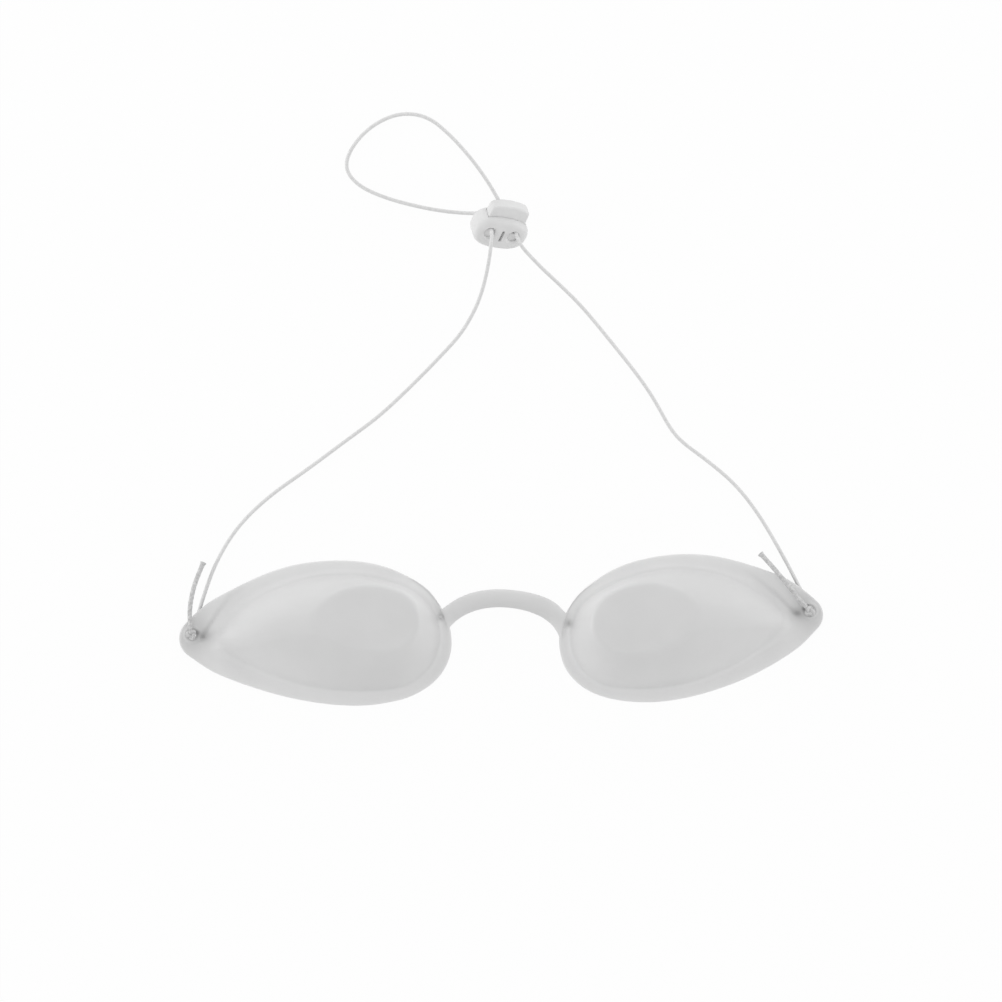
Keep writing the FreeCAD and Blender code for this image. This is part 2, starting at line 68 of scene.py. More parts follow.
CAMERA_HEIGHT = 2.0
SHOWN_WIDTH = 0.2334
SHOWN_MIDDLE_Y = 0.03005
camera_data = bpy.data.cameras.new("camera")
camera_data.sensor_width = 36.0
camera_data.lens = 36.0 * CAMERA_HEIGHT / SHOWN_WIDTH
camera = add_object("camera", camera_data)
camera.location = (0.0, SHOWN_MIDDLE_Y, CAMERA_HEIGHT)
bpy.context.scene.camera = camera
bpy.context.scene.view_settings.view_transform = "Standard"
print("lens in mm", round(camera_data.lens, 1))

# %% [markdown]
# ## Helpers for meshes
# A surface on a grid needs two things: where its points are, and which four points make a face.
# Both are whole numpy arrays, so Blender gets a mesh of any size in one call.

# %% Put numpy arrays into a mesh
def new_piece(name, points, quads, triangles=()):
    """Mesh object from an (n, 3) array of points in millimetres and arrays of corner numbers."""
    mesh = bpy.data.meshes.new(name)
    quads = np.asarray(quads, dtype=np.int32).reshape(-1, 4)
    triangles = np.asarray(triangles, dtype=np.int32).reshape(-1, 3)
    corners = np.concatenate([quads.ravel(), triangles.ravel()])
    starts = np.concatenate([np.arange(len(quads)) * 4,
                             4 * len(quads) + np.arange(len(triangles)) * 3])
    mesh.vertices.add(len(points))
    mesh.vertices.foreach_set("co", (np.asarray(points) * MM).astype(np.float32).ravel())
    mesh.loops.add(len(corners))
    mesh.loops.foreach_set("vertex_index", corners.astype(np.int32))
    mesh.polygons.add(len(starts))
    mesh.polygons.foreach_set("loop_start", starts.astype(np.int32))
    mesh.update(calc_edges=True)
    mesh.validate()
    return add_object(name, mesh)


def coordinates(mesh):
    """The mesh's points in millimetres."""
    found = np.zeros(len(mesh.vertices) * 3, np.float32)
    mesh.vertices.foreach_get("co", found)
    return found.reshape(-1, 3).astype(float) / MM


def ring_quads(before, after):
    """Faces between two closed rings of point numbers: corner k joins corner k + 1, the last the first."""
    return np.stack([before, np.roll(before, -1), np.roll(after, -1), after], axis=-1).reshape(-1, 4)


def tube_quads(numbers):
    """Faces between each row of point numbers and the next."""
    return np.concatenate([ring_quads(a, b) for a, b in zip(numbers, numbers[1:])])


def two_fans(poles, numbers):
    """Triangles from the first pole to the first row and from the second pole to the last row."""
    first, last = numbers[0], numbers[-1]
    return np.concatenate([np.stack([np.full(len(first), poles[0]), np.roll(first, -1), first], 1),
                           np.stack([np.full(len(last), poles[1]), last, np.roll(last, -1)], 1)])


def outward(piece, crease=50.0):
    """Turns all faces outward, shades them smoothly and keeps edges sharper than crease degrees."""
    mesh = bmesh.new()
    mesh.from_mesh(piece.data)
    bmesh.ops.recalc_face_normals(mesh, faces=mesh.faces)
    mesh.to_mesh(piece.data)
    mesh.free()
    piece.data.shade_smooth()
    piece.data.set_sharp_from_angle(angle=math.radians(crease))
    return piece


def closed_rows(name, rows, poles, crease=50.0):
    """Closed mesh of rows (rows, columns, 3) with a fan to one of two poles at each end."""
    numbers = np.arange(rows.shape[0] * rows.shape[1]).reshape(rows.shape[:2])
    fans = two_fans((numbers.size, numbers.size + 1), numbers)
    points = np.concatenate([rows.reshape(-1, 3), poles])
    return outward(new_piece(name, points, tube_quads(numbers), fans), crease)


# %% [markdown]
# Holes are easiest to make as on the real part, with a pin in the mould. A pin is a closed mesh of its
# own, and a Boolean takes it away from the piece or joins it on.

# %% Pins and Booleans
def straight_pin(name, outline, low, high):
    """Prism of an outline in x and y from z = low to z = high."""
    rows = np.array([np.column_stack([outline, np.full(len(outline), z)]) for z in (low, high)])
    return closed_rows(name, rows, rows.mean(1))


def combine(piece, operation, others):
    """Takes the others away from the piece, or joins them to it, with exact corners."""
    for number, pin in enumerate(others):
        modifier = piece.modifiers.new("step" + str(number), "BOOLEAN")
        modifier.operation = operation
        modifier.solver = "EXACT"
        modifier.object = pin
    bpy.context.view_layer.update()
    graph = bpy.context.evaluated_depsgraph_get()
    piece_mesh = bpy.data.meshes.new_from_object(piece.evaluated_get(graph))
    piece.modifiers.clear()
    piece.data = piece_mesh
    for pin in others:
        bpy.data.objects.remove(pin)
    return piece


# %% [markdown]
# Many shapes below are worked out from the same few measures: unit directions, the distance run along
# a line, and a Gaussian bell for soft dents.

# %% Measures on arrays
def unit(vectors):
    """The vectors, each divided by its length."""
    return vectors / np.linalg.norm(vectors, axis=-1, keepdims=True)


def run_along(points):
    """Distance from the first point to each, along the straight steps between them."""
    return np.concatenate([[0.0], np.cumsum(np.linalg.norm(np.diff(points, axis=0), axis=1))])


def smooth_step(value):
    """0 below 0, 1 above 1, and 3 v^2 - 2 v^3 between."""
    value = np.clip(value, 0.0, 1.0)
    return value * value * (3 - 2 * value)


def bell(distance, width):
    """Gaussian exp(-(distance / width)^2)."""
    return np.exp(-(distance / width) ** 2)


def spot(flat, centre, size):
    """Gaussian bell round a centre, with its own width along x and y or one for both."""
    return bell(np.linalg.norm((flat - np.asarray(centre)) / size, axis=-1), 1.0)


# %% [markdown]
# ## The elastic cord's line
# One elastic cord runs from ear to ear through the lock and makes a loop behind it. Its route is a few
# points chosen along the photograph, and a smooth spline with those points as its control
# points gives the line that the limp cord really takes. The cord lies on the table, and a point given
# without a height rests half a cord above it. It rises only into the lock and through the ears.

# %% Routes of the cord, in millimetres
RESTING_HEIGHT = 0.48
LEFT_ROUTE = [
    (-2.3, 92.75, 9), (-2.1, 91.9, 10.2), (-2.2, 90.5, 11.2), (-2.4, 88.6, 11.3), (-2.7, 86.3, 10.3),
    (-3.4, 82.6, 7.3), (-4.5, 78.4, 3.4), (-6.3, 74, 1.2), (-9.4, 68.8, 0.52), (-14.6, 63.2),
    (-21, 56.7), (-28.4, 49.7), (-36, 44.2), (-45.2, 37.3), (-54.2, 31.1), (-61.4, 24.1), (-66.2, 16.3),
    (-69.2, 8.2), (-70.9, 2.3), (-71.55, 0.1, 0.6), (-71.81, -1.04, 1.3), (-71.81, -1.04, 2.8)]
RIGHT_UPPER_ROUTE = [
    (3.55, 91.95, 6.8), (3.8, 91.1, 8.2), (4.4, 89.7, 9.1), (5.5, 88.2, 9.4), (7.1, 86.5, 8.8),
    (9.6, 84, 6.7), (12.2, 81.7, 3.6), (14.9, 79.2, 1.4), (17.9, 76.3, 0.56), (21.6, 72.1),
    (26.2, 66.4), (31.6, 59.7), (35.6, 53.9), (37.6, 50.2)]
RIGHT_LOWER_ROUTE = [
    (37.6, 50.2), (39.4, 46.87), (42.2, 43.7), (48, 39.5), (54.6, 34), (60.1, 26.9), (65.3, 18),
    (69.2, 10.6), (71, 6.9), (71.6, 5.5, 0.6), (71.69, 4.57, 1.3), (71.69, 4.57, 2.8)]
LOOP_ROUTE = [
    (3.55, 91.95, 6.8), (1.8, 96, 1.8), (1, 97.5, 0.55), (-0.1, 99.3), (-3, 104.4), (-6.8, 109.7),
    (-11.7, 115.2), (-17.1, 119.7), (-23.6, 120.5), (-30.1, 117.6), (-34.8, 112.6), (-36.5, 107.6),
    (-33.4, 103.5), (-27, 100.6), (-19, 98.5), (-13.2, 97.5), (-8.8, 97.1, 0.7), (-6.4, 97, 1.5),
    (-4.7, 97.1, 2.8), (-3.6, 96.8, 4.3), (-2.3, 92.75, 9)]
LEFT_TAIL_ROUTE = [
    (-72.15, -0.4, 3.7), (-72.4, 2.6, 3.9), (-72.3, 6, 3.6), (-71.6, 9.6, 2.7), (-70.6, 12.6, 1.7),
    (-69.3, 15.7, 0.9)]
RIGHT_TAIL_ROUTE = [
    (71.3, 5, 3.7), (69.6, 6.8, 3.9), (67.2, 9.9, 3.8), (64.9, 12.7, 3.3), (62.6, 15.4, 2.4),
    (60.4, 17.8, 1.5)]


# %% Read a smooth line from a route
def spline_line(name, route, step):
    """Points every step millimetres along the NURBS spline whose control points are the route."""
    curve = bpy.data.curves.new(name + "_route", "CURVE")
    curve.dimensions = "3D"
    curve.resolution_u = 24
    spline = curve.splines.new("NURBS")
    spline.points.add(len(route) - 1)
    places = np.array([(*point, RESTING_HEIGHT)[:3] for point in route]) * MM
    spline.points.foreach_set("co", np.hstack([places, np.ones((len(route), 1))]).ravel())
    spline.order_u = 3
    spline.use_endpoint_u = True
    holder = bpy.data.objects.new(name + "_route", curve)
    mesh = bpy.data.meshes.new_from_object(holder)
    found = coordinates(mesh)
    bpy.data.meshes.remove(mesh)
    bpy.data.objects.remove(holder)
    bpy.data.curves.remove(curve)
    run = run_along(found)
    even = np.linspace(0.0, run[-1], max(8, int(run[-1] / step)))
    line = np.stack([np.interp(even, run, found[:, axis]) for axis in range(3)], axis=1)
    print(name, "is", round(run[-1], 1), "mm long")
    return line, even


# %% [markdown]
# ## The cord's braided jacket
# A round elastic is a rubber core in a braid of fine yarn. Its surface is a pipe whose radius rises
# over each yarn: two families of helices wind round it in opposite senses, and each passes over and
# under the other. The tails hang slack beyond the knots, so there the braid is thicker and rougher.

# %% Braided pipe along a line
CORD_DIAMETER = 0.86
YARNS = 4
YARN_PITCH = 2.3
CORD_COLUMNS = 22
RING_STEP = 0.15
MEAN_YARN = 0.6
CORD_CREASE = 75.0
CUT_SHARE = 0.55
POLE_SHARE = 0.6


def braid_height(run, turn):
    """Yarn height from 0 to 1: two opposed helices of rounded ribs, each on top by turns."""
    one = YARNS * turn + 2 * math.pi * run / YARN_PITCH * 2
    other = YARNS * turn - 2 * math.pi * run / YARN_PITCH * 2
    swap = 0.5 + 0.5 * np.sin((one + other) / 2)
    return swap * np.abs(np.cos(one / 2)) ** 0.7 + (1 - swap) * np.abs(np.cos(other / 2)) ** 0.7


def braided_wall(line, along, lean, run, radius, relief):
    """Rings round a line: each is the line's point plus its radius along two directions square to
    the line, the first being line direction x lean."""
    side = unit(np.cross(along, lean))
    rise = np.cross(side, along)
    turn = np.linspace(0.0, 2 * math.pi, CORD_COLUMNS, endpoint=False)
    out = (np.cos(turn)[None, :, None] * side[:, None, :]
           + np.sin(turn)[None, :, None] * rise[:, None, :])
    height = braid_height(run[:, None], turn[None, :])
    reach = np.broadcast_to(radius, len(line))[:, None] + relief * (height - MEAN_YARN)
    return line[:, None, :] + reach[:, :, None] * out


def braided_pipe(name, line, run, radius, relief, lean, dip=0.0):
    """Closed braided pipe. Its last face is hollowed by dip millimetres."""
    along = unit(np.gradient(line, axis=0))
    wall = braided_wall(line, along, lean, run, radius, relief)
    first = line[0] + CUT_SHARE * (wall[0] - line[0])
    last = line[-1] - along[-1] * dip + CUT_SHARE * (wall[-1] - line[-1])
    poles = [line[0], line[-1] - along[-1] * dip * POLE_SHARE]
    piece = closed_rows(name, np.concatenate([[first], wall, [last]]), poles, CORD_CREASE)
    print(name, len(piece.data.polygons), "faces")
    return piece


# %% The four lengths of cord under tension
FLAT = (0.0, 0.0, 1.0)
ACROSS = (1.0, 0.0, 0.0)
cords = {}
for name, route, lean in (("head_cord_left", LEFT_ROUTE, ACROSS),
                          ("head_cord_right_upper", RIGHT_UPPER_ROUTE, ACROSS),
                          ("head_cord_right_lower", RIGHT_LOWER_ROUTE, ACROSS),
                          ("head_cord_loop", LOOP_ROUTE, FLAT)):
    line, run = spline_line(name, route, RING_STEP)
    cords[name] = braided_pipe(name, line, run, CORD_DIAMETER / 2, 0.022, lean)

# %% [markdown]
# ## Knots and tails
# In front of each ear the cord ends in an overhand knot, too big for the hole, with a cut tail. A
# trefoil curve is an overhand knot with its ends joined: the joined part is hidden inside the lump,
# where the cord comes up through the ear. Past the knot the elastic is slack and a little thicker, and
# the cut end opens into a small frayed mouth.

# %% Knot and tail shapes
KNOT_SIZE = 0.315
KNOT_LIFT = 0.40
KNOT_CORD = 0.40
KNOT_PITCHES = 8
KNOT_RELIEF = 0.03
TAIL_RADIUS = 0.53
TAIL_RELIEF = 0.07
CUT_FLARE = 0.2
CUT_DIP = 0.35


def knot_line(place, lean_to):
    """Trefoil: x = a sin t + 2 sin 2t, y = a cos t - 2 cos 2t, z = -sin 3t, turned to face one way."""
    t = np.linspace(0.0, 2 * math.pi, 181)[:-1]
    x = 0.9 * np.sin(t) + 2 * np.sin(2 * t)
    y = 0.9 * np.cos(t) - 2 * np.cos(2 * t)
    z = -np.sin(3 * t)
    c = math.cos(lean_to)
    s = math.sin(lean_to)
    flat = np.stack([(c * x - s * y) * KNOT_SIZE, (s * x + c * y) * KNOT_SIZE, z * KNOT_LIFT], axis=1)
    return flat + np.array(place)


def knot_piece(name, place, lean_to):
    """Closed braided pipe on the trefoil, its rings joined end to end."""
    line = knot_line(place, lean_to)
    along = unit(np.roll(line, -1, axis=0) - np.roll(line, 1, axis=0))
    run = np.linspace(0.0, KNOT_PITCHES * YARN_PITCH, len(line), endpoint=False)
    wall = braided_wall(line, along, line - np.array(place), run, KNOT_CORD, KNOT_RELIEF)
    numbers = np.arange(wall.shape[0] * wall.shape[1]).reshape(wall.shape[:2])
    quads = tube_quads(np.vstack([numbers, numbers[:1]]))
    return outward(new_piece(name, wall.reshape(-1, 3), quads), CORD_CREASE)


def tail_piece(name, route):
    """Slack pipe that leaves the knot thin, swells to its own size and flares at the cut."""
    line, run = spline_line(name, route, 0.1)
    left = run[-1] - run
    radius = KNOT_CORD + (TAIL_RADIUS - KNOT_CORD) * (1 - np.exp(-run / 1.2))
    radius = radius + CUT_FLARE * bell(left, 0.5)
    return braided_pipe(name, line, run, radius, TAIL_RELIEF, ACROSS, CUT_DIP)


# %% Both knots sit on their ears
LEFT_HOLE = (-71.81, -1.04)
RIGHT_HOLE = (71.69, 4.57)
KNOT_MIDDLE = 3.6
left_knot = knot_piece("left_cord_knot", (LEFT_HOLE[0] - 0.2, LEFT_HOLE[1] + 0.05, KNOT_MIDDLE), 0.3)
right_knot = knot_piece("right_cord_knot", (RIGHT_HOLE[0] + 0.15, RIGHT_HOLE[1] - 0.15, KNOT_MIDDLE),
                        1.1)
left_tail = tail_piece("left_cord_tail", LEFT_TAIL_ROUTE)
right_tail = tail_piece("right_cord_tail", RIGHT_TAIL_ROUTE)
for side_name, knot in (("left", left_knot), ("right", right_knot)):
    size = knot.dimensions
    print(side_name, "knot is", [round(v / MM, 2) for v in size], "mm")

# %% [markdown]
# ## The rim's outline
# Seen from above each cup is a teardrop: a round inner end, a small round tip, and two long arcs that
# touch both. Every level of the cup, from the rim to the flat crown, is the same teardrop scaled and
# grown. The two cups were measured on the photograph one by one, for they aren't quite alike, and a
# soft rim is never a perfect arc: the trim says how far it stands out or in at 28 places round it.

# %% Teardrop of four tangent arcs
RIGHT_TRIM = (-0.24, -0.52, -0.3, 0.0, 0.28, 0.0, -0.28, 0.08, 0.24, 0.12, -0.04, -0.16, -0.12, -0.06,
              0.1, 0.3, -0.1, 0.08, 0.25, 0.3, -0.3, -0.38, -0.2, -0.04, 0.08, 0.2, 0.4, 0.28)
LEFT_TRIM = (-0.16, -0.56, -0.52, 0.0, 0.44, 0.24, -0.28, -0.24, 0.2, 0.2, 0.04, -0.08, -0.12, -0.12,
             0.06, 0.32, -0.1, -0.1, 0.15, 0.2, -0.35, -0.42, -0.2, 0.0, 0.08, 0.24, 0.44, 0.4)
RIGHT_CUP = dict(length=61.81, inner=14.48, tip=4.27, cheek=57.26, brow=43.59,
                 centre=(27.92, -1.86), turn=6.98, mirror=1, root=(149.6, 172.3),
                 crown=(24.6, 16.3), crown_at=(6.2, 4.1), hole=RIGHT_HOLE, pit=(15.80, 1.40),
                 trim=RIGHT_TRIM, groove=((69.0, 3.9), (68.2, 4.3), (64.1, 8.2), (59.9, 11.6),
                                          (55.7, 14.2), (51.9, 15.5)),
                 root_groove=((16.1, 1.5), (17.1, 3.9), (18.3, 6.3), (20.2, 9.1)))
LEFT_CUP = dict(length=63.32, inner=15.15, tip=4.71, cheek=69.79, brow=47.18,
                centre=(-26.78, -1.71), turn=-0.47, mirror=-1, root=(154.0, 171.4),
                crown=(24.9, 15.4), crown_at=(4.6, 4.6), hole=LEFT_HOLE, pit=(-14.05, 2.95),
                trim=LEFT_TRIM, groove=((-69.5, -1.5), (-69.2, -1.0), (-67.7, 1.2), (-65.4, 4.6),
                                        (-62.9, 7.6), (-60.1, 9.7), (-57.0, 11.3)),
                root_groove=((-14.1, 3.1), (-15.4, 5.3), (-17.7, 7.6), (-20.4, 9.4)))
ARC_CELLS = ((26, 16, 46), (84,), (76,), (92,))


def teardrop(cup):
    """Centre, radius and heading of every column. A wide arc of radius R that holds two circles of
    radii a and b, d apart, has its centre at distance R - a from one and R - b from the other."""
    apart = cup["length"] - cup["inner"] - cup["tip"]

    def holder(radius, side):
        a = radius - cup["inner"]
        b = radius - cup["tip"]
        along = (a * a - b * b + apart * apart) / (2 * apart)
        return np.array([along, side * math.sqrt(a * a - along * along)])

    centres = [np.zeros(2), holder(cup["cheek"], 1), np.array([apart, 0.0]), holder(cup["brow"], -1)]
    radii = [cup["inner"], cup["cheek"], cup["tip"], cup["brow"]]

    def heading(start, end):
        return math.atan2(end[1] - start[1], end[0] - start[0])

    turn = 2 * math.pi
    ways = [heading(centres[3], centres[0]), heading(centres[1], centres[0]) + turn,
            heading(centres[1], centres[2]) + turn, heading(centres[3], centres[2]) + turn,
            heading(centres[3], centres[0]) + turn]
    root = [math.radians(v) for v in cup["root"]]
    marks = [[ways[0], *root, ways[1]], [ways[1], ways[2]], [ways[2], ways[3]], [ways[3], ways[4]]]
    columns = []
    for centre, radius, steps, cells in zip(centres, radii, marks, ARC_CELLS):
        for start, end, count in zip(steps, steps[1:], cells):
            angle = np.linspace(start, end, count, endpoint=False)
            columns.append(np.column_stack([np.full(count, centre[0]), np.full(count, centre[1]),
                                            np.full(count, radius), angle]))
    return np.concatenate(columns)


def level(columns, scale, grow, shift):
    """Points (..., n, 2) of the teardrop scaled, grown outward and shifted."""
    scale, grow = np.asarray(scale)[..., None], np.asarray(grow)[..., None]
    shift = np.asarray(shift)
    reach = columns[:, 2] * scale + grow
    x = columns[:, 0] * scale + shift[..., 0:1] + reach * np.cos(columns[:, 3])
    y = columns[:, 1] * scale + shift[..., 1:2] + reach * np.sin(columns[:, 3])
    return np.stack([x, y], axis=-1)


def rim_trim(columns, trim):
    """Each column's offset: the trim read at its share of the way round, softened by a Hann window."""
    edge = level(columns, 1.0, 0.0, (0.0, 0.0))
    steps = np.linalg.norm(np.roll(edge, -1, axis=0) - edge, axis=1)
    share = np.concatenate([[0.0], np.cumsum(steps)[:-1]]) / steps.sum()
    fine = np.linspace(0.0, 1.0, 560, endpoint=False)
    rough = np.interp(fine, np.arange(len(trim)) / len(trim), trim, period=1.0)
    window = np.hanning(31) / np.hanning(31).sum()
    soft = np.convolve(np.concatenate([rough[-15:], rough, rough[:15]]), window, mode="valid")
    return np.interp(share, fine, soft, period=1.0)


for cup in (LEFT_CUP, RIGHT_CUP):
    edge = level(teardrop(cup), 1.0, 0.0, (0.0, 0.0))
    low, high = edge.min(0), edge.max(0)
    cup["size"] = high - low
    cup["middle"] = (high + low) / 2
    print("cup outline in mm", np.round(cup["size"], 2))

# %% [markdown]
# ## One cup as a grid
# A cup is a single closed skin. Its rows run from the middle of the crown, down the dome, across the
# flat rim, round its edge, and back under through the hollow to the middle again. Its columns run
# round the teardrop. The dome is part of an arc, from 32 to 68 degrees: its height follows the sine
# while its outline closes in by the cosine, which gives a steep foot and a gentler shoulder. Where two
# surfaces meet, a curve of three points, a quadratic Bezier, makes the soft inner radius of a mould.

# %% Heights of the cup's parts
RIM_THICKNESS = 1.2
RIM_ROUND = 0.35
RIM_MARGINS = dict(inner=2.2, tip=6.4, brow=2.8, cheek=2.4)
BROW_TILT = 0.35
DOME_HEIGHT = 12.0
DOME_WALL = 1.2
DOME_START = math.radians(32.0)
DOME_SWEEP = math.radians(68.0)
EAR_RISE = 1.3
EAR_RUN = 11.0
EAR_FLAT = 4.6
CROWN_BULGE = 0.12
WALL_ROWS = 22
RIM_ROWS = 22
EDGE_ROWS = 4
UNDER_ROWS = 9


def bezier(first, corner, last, count):
    """Points of a quadratic Bezier from first towards corner to last, ends left out."""
    t = (np.arange(1, count + 1) / (count + 1))[:, None, None]
    return (1 - t) ** 2 * first + 2 * t * (1 - t) * corner + t * t * last


def family(cup, length, width, middle):
    """Scale, growth and shift that give the teardrop this length, width and middle."""
    scale = (length - width) / (cup["size"][0] - cup["size"][1])
    grow = (width - scale * cup["size"][1]) / 2
    return np.array([scale, grow, *(np.asarray(middle) - cup["middle"] * scale)])


# %% [markdown]
# The ear is the flat tip of the rim. It lifts in an S so that the cord can slip under it, and a low
# ring stiffens the hole. Where the dome falls steeply to the ear on the brow side there is a groove
# that ends in a small pit by the hole, and another pit lies at the root of the nose bridge.

# %% Rows of one cup
def cup_surface(cup):
    """Grid (rows, columns, 3) of one cup in its own frame and the two rows that bound the rim's edge."""
    columns = teardrop(cup)
    size, middle = cup["size"], cup["middle"]
    m = RIM_MARGINS
    rim = np.array([1.0, 0.0, 0.0, 0.0])
    foot = family(cup, size[0] - m["inner"] - m["tip"], size[1] - m["brow"] - m["cheek"],
                  middle + np.array([m["inner"] - m["tip"], m["cheek"] - m["brow"]]) / 2)
    crown = family(cup, *cup["crown"], cup["crown_at"])
    tip_x = cup["length"] - cup["inner"]
    ear_start = tip_x - EAR_FLAT - EAR_RUN
    trim = rim_trim(columns, cup["trim"])
    tilt = BROW_TILT * smooth_step((np.sin(columns[:, 3]) + 0.1) / 0.8)

    def lift(x):
        return EAR_RISE * smooth_step((x - ear_start) / EAR_RUN)

    def at(shape, z):
        flat = level(columns, shape[..., 0], shape[..., 1], shape[..., 2:4])
        return np.concatenate([flat, np.broadcast_to(z, flat.shape[:-1])[..., None]], axis=-1)

    def wall(angle, inset, height):
        """Point of the dome at an angle for each column: blend = (cos 32 - cos) / (cos 32 - cos 68)
        and height share = (sin - sin 32) / (sin 68 - sin 32)."""
        blend = (math.cos(DOME_START) - np.cos(angle)) / (math.cos(DOME_START) - math.cos(DOME_SWEEP))
        shape = foot + (crown - foot) * blend[..., None]
        reach = columns[:, 2] * shape[..., 0] + shape[..., 1] - inset
        x = columns[:, 0] * shape[..., 0] + shape[..., 2] + reach * np.cos(columns[:, 3])
        y = columns[:, 1] * shape[..., 0] + shape[..., 3] + reach * np.sin(columns[:, 3])
        share = (np.sin(angle) - math.sin(DOME_START)) / (math.sin(DOME_SWEEP) - math.sin(DOME_START))
        return np.stack([x, y, height * share], axis=-1)

    def foot_angle(inset, height, base):
        angle = np.full(len(columns), DOME_START + 0.05)
        sine_range = math.sin(DOME_SWEEP) - math.sin(DOME_START)
        for _ in range(4):
            top = base + lift(wall(angle, inset, height)[:, 0])
            angle = np.arcsin(np.clip(math.sin(DOME_START) + top * sine_range / height, 0.0, 0.92))
        return angle

    def rim_ring(inset, z):
        """Row at a distance in from the trimmed rim, at height z above the lifted ear's line."""
        ring = at(rim - np.array([0.0, inset, 0.0, 0.0]), 0.0)
        ring[..., 0] += trim * np.cos(columns[:, 3])
        ring[..., 1] += trim * np.sin(columns[:, 3])
        ring[..., 2] = z + lift(ring[..., 0])
        return ring

    def crown_rows(inset, height, bulge, shares):
        shape = crown - np.array([0.0, inset, 0.0, 0.0])
        rows = []
        for share in shares:
            part = np.array([shape[0] * share, shape[1] * share,
                             *(np.asarray(cup["crown_at"]) - cup["middle"] * shape[0] * share)])
            rows.append(at(part, height + bulge * (1 - share ** 2)))
        return rows

    def towards(start, end, distance):
        step = end - start
        return start + step * (distance / np.linalg.norm(step, axis=-1, keepdims=True))

    def half(inset, height, base, bulge, shoulder, fillet, steps, top_shares):
        """Crown, rounded shoulder, dome wall and rounded foot of the outer or inner skin."""
        rows = crown_rows(inset, height, bulge, top_shares)
        edge = at(crown - np.array([0.0, inset, 0.0, 0.0]), height)
        sweep = np.full(len(columns), DOME_SWEEP)
        speed = np.linalg.norm(wall(sweep, inset, height) - wall(sweep - 0.01, inset, height),
                               axis=-1) / 0.01
        high = sweep - np.minimum(shoulder / speed, 0.25)
        low = foot_angle(inset, height, base)
        corner = wall(low, inset, height)
        speed = np.linalg.norm(wall(low + 0.01, inset, height) - corner, axis=-1) / 0.01
        start = low + np.minimum(fillet / speed, 0.3)
        inner_edge = towards(edge, at(np.array([0.0, 0.0, *cup["crown_at"]]), height), shoulder)
        inner_edge[..., 2] = height + bulge * 0.12
        rows += [inner_edge]
        rows += list(bezier(inner_edge, edge, wall(high, inset, height), 6))
        share = (np.arange(steps + 1) / steps)[:, None]
        rows += list(wall(high + (start - high) * share, inset, height))
        return rows, corner

    heading = columns[:, 3]
    tipness = smooth_step((level(columns, 1.0, 0.0, (0.0, 0.0))[:, 0] - ear_start - 4.0) / 9.0)
    cheekness = smooth_step((np.sin(heading) * -1.0 - 0.2) / 0.6)
    browness = smooth_step((np.sin(heading) - 0.2) / 0.6)
    fillet = 1.35 + 0.8 * browness + tipness * 1.9 * cheekness
    outer, corner = half(0.0, DOME_HEIGHT, RIM_THICKNESS + tilt, CROWN_BULGE, 0.9, fillet, WALL_ROWS,
                         (0.1, 0.25, 0.45, 0.65, 0.8))
    edge = rim_ring(RIM_ROUND, RIM_THICKNESS)
    length = np.linalg.norm(edge - corner, axis=-1)

    def slope(points, share):
        """Rim height: its thickness, the tilt left at this share of the way out, and the ear's lift."""
        points[..., 2] = RIM_THICKNESS + tilt * (1 - share) + lift(points[..., 0])
        return points

    begin = slope(corner + (edge - corner) * (fillet / length)[:, None], fillet / length)
    outer += list(bezier(outer[-1], slope(corner, 0.0), begin, 7))
    share = (np.arange(RIM_ROWS + 1) / RIM_ROWS)[:, None, None]
    outer += list(slope(begin + (edge - begin) * share,
                        fillet / length + (1 - fillet / length) * share[..., 0]))
    top_row = len(outer) - 1
    for angle in np.radians([22.5, 45.0, 67.5, 90.0]):
        outer.append(rim_ring(RIM_ROUND * (1 - math.sin(angle)),
                              RIM_THICKNESS - RIM_ROUND * (1 - math.cos(angle))))
    for angle in np.radians([90.0, 60.0, 30.0, 0.0]):
        outer.append(rim_ring(RIM_ROUND * (1 - math.sin(angle)), RIM_ROUND * (1 - math.cos(angle))))
    bottom_row = len(outer) - 1
    inner, hollow = half(DOME_WALL, DOME_HEIGHT - DOME_WALL, 0.0, 0.0, 1.0,
                         np.full(len(columns), 0.3), 16, (0.15, 0.4, 0.7))
    hollow[..., 2] = lift(hollow[..., 0])
    mouth = hollow + (outer[-1] - hollow) * (0.3 / np.linalg.norm(outer[-1] - hollow, axis=-1))[:, None]
    share = (np.arange(1, UNDER_ROWS + 1) / UNDER_ROWS)[:, None, None]
    under = outer[-1] + (mouth - outer[-1]) * share
    under[..., 2] = lift(under[..., 0])
    outer += list(under)
    outer += list(bezier(mouth, hollow, inner[-1], 3))
    outer += inner[::-1]
    return np.array(outer), top_row, bottom_row


cups = {}
for name, cup in (("left", LEFT_CUP), ("right", RIGHT_CUP)):
    grid, top_row, bottom_row = cup_surface(cup)
    cups[name] = grid
    print(name, "cup grid", grid.shape, "rim rows", top_row, bottom_row)


# %% [markdown]
# ## Set the cups on the table
# Each grid is turned and moved to its place in the photograph, and the left one is mirrored. Small
# forms that depend only on where they are, the ring round the hole, the groove and the pits, are then
# added to the heights of the upper skin.

# %% Place a cup and add its small forms
PIT_DEPTH = 0.32
EAR_PIT_DEPTH = 0.46
GROOVE_DEPTH = 0.34
RING_HEIGHT = 0.3
RING_RADIUS = 1.62
ROOT_GROOVE_DEPTH = 0.26
ROOT_RAISE = 0.55


def place(cup, points):
    """Mirrors, turns and moves points of the cup's own frame."""
    turn = math.radians(cup["turn"]) * cup["mirror"]
    x = points[..., 0] * cup["mirror"]
    y = points[..., 1]
    moved = np.stack([x * math.cos(turn) - y * math.sin(turn) + cup["centre"][0],
                      x * math.sin(turn) + y * math.cos(turn) + cup["centre"][1],
                      points[..., 2]], axis=-1)
    return moved


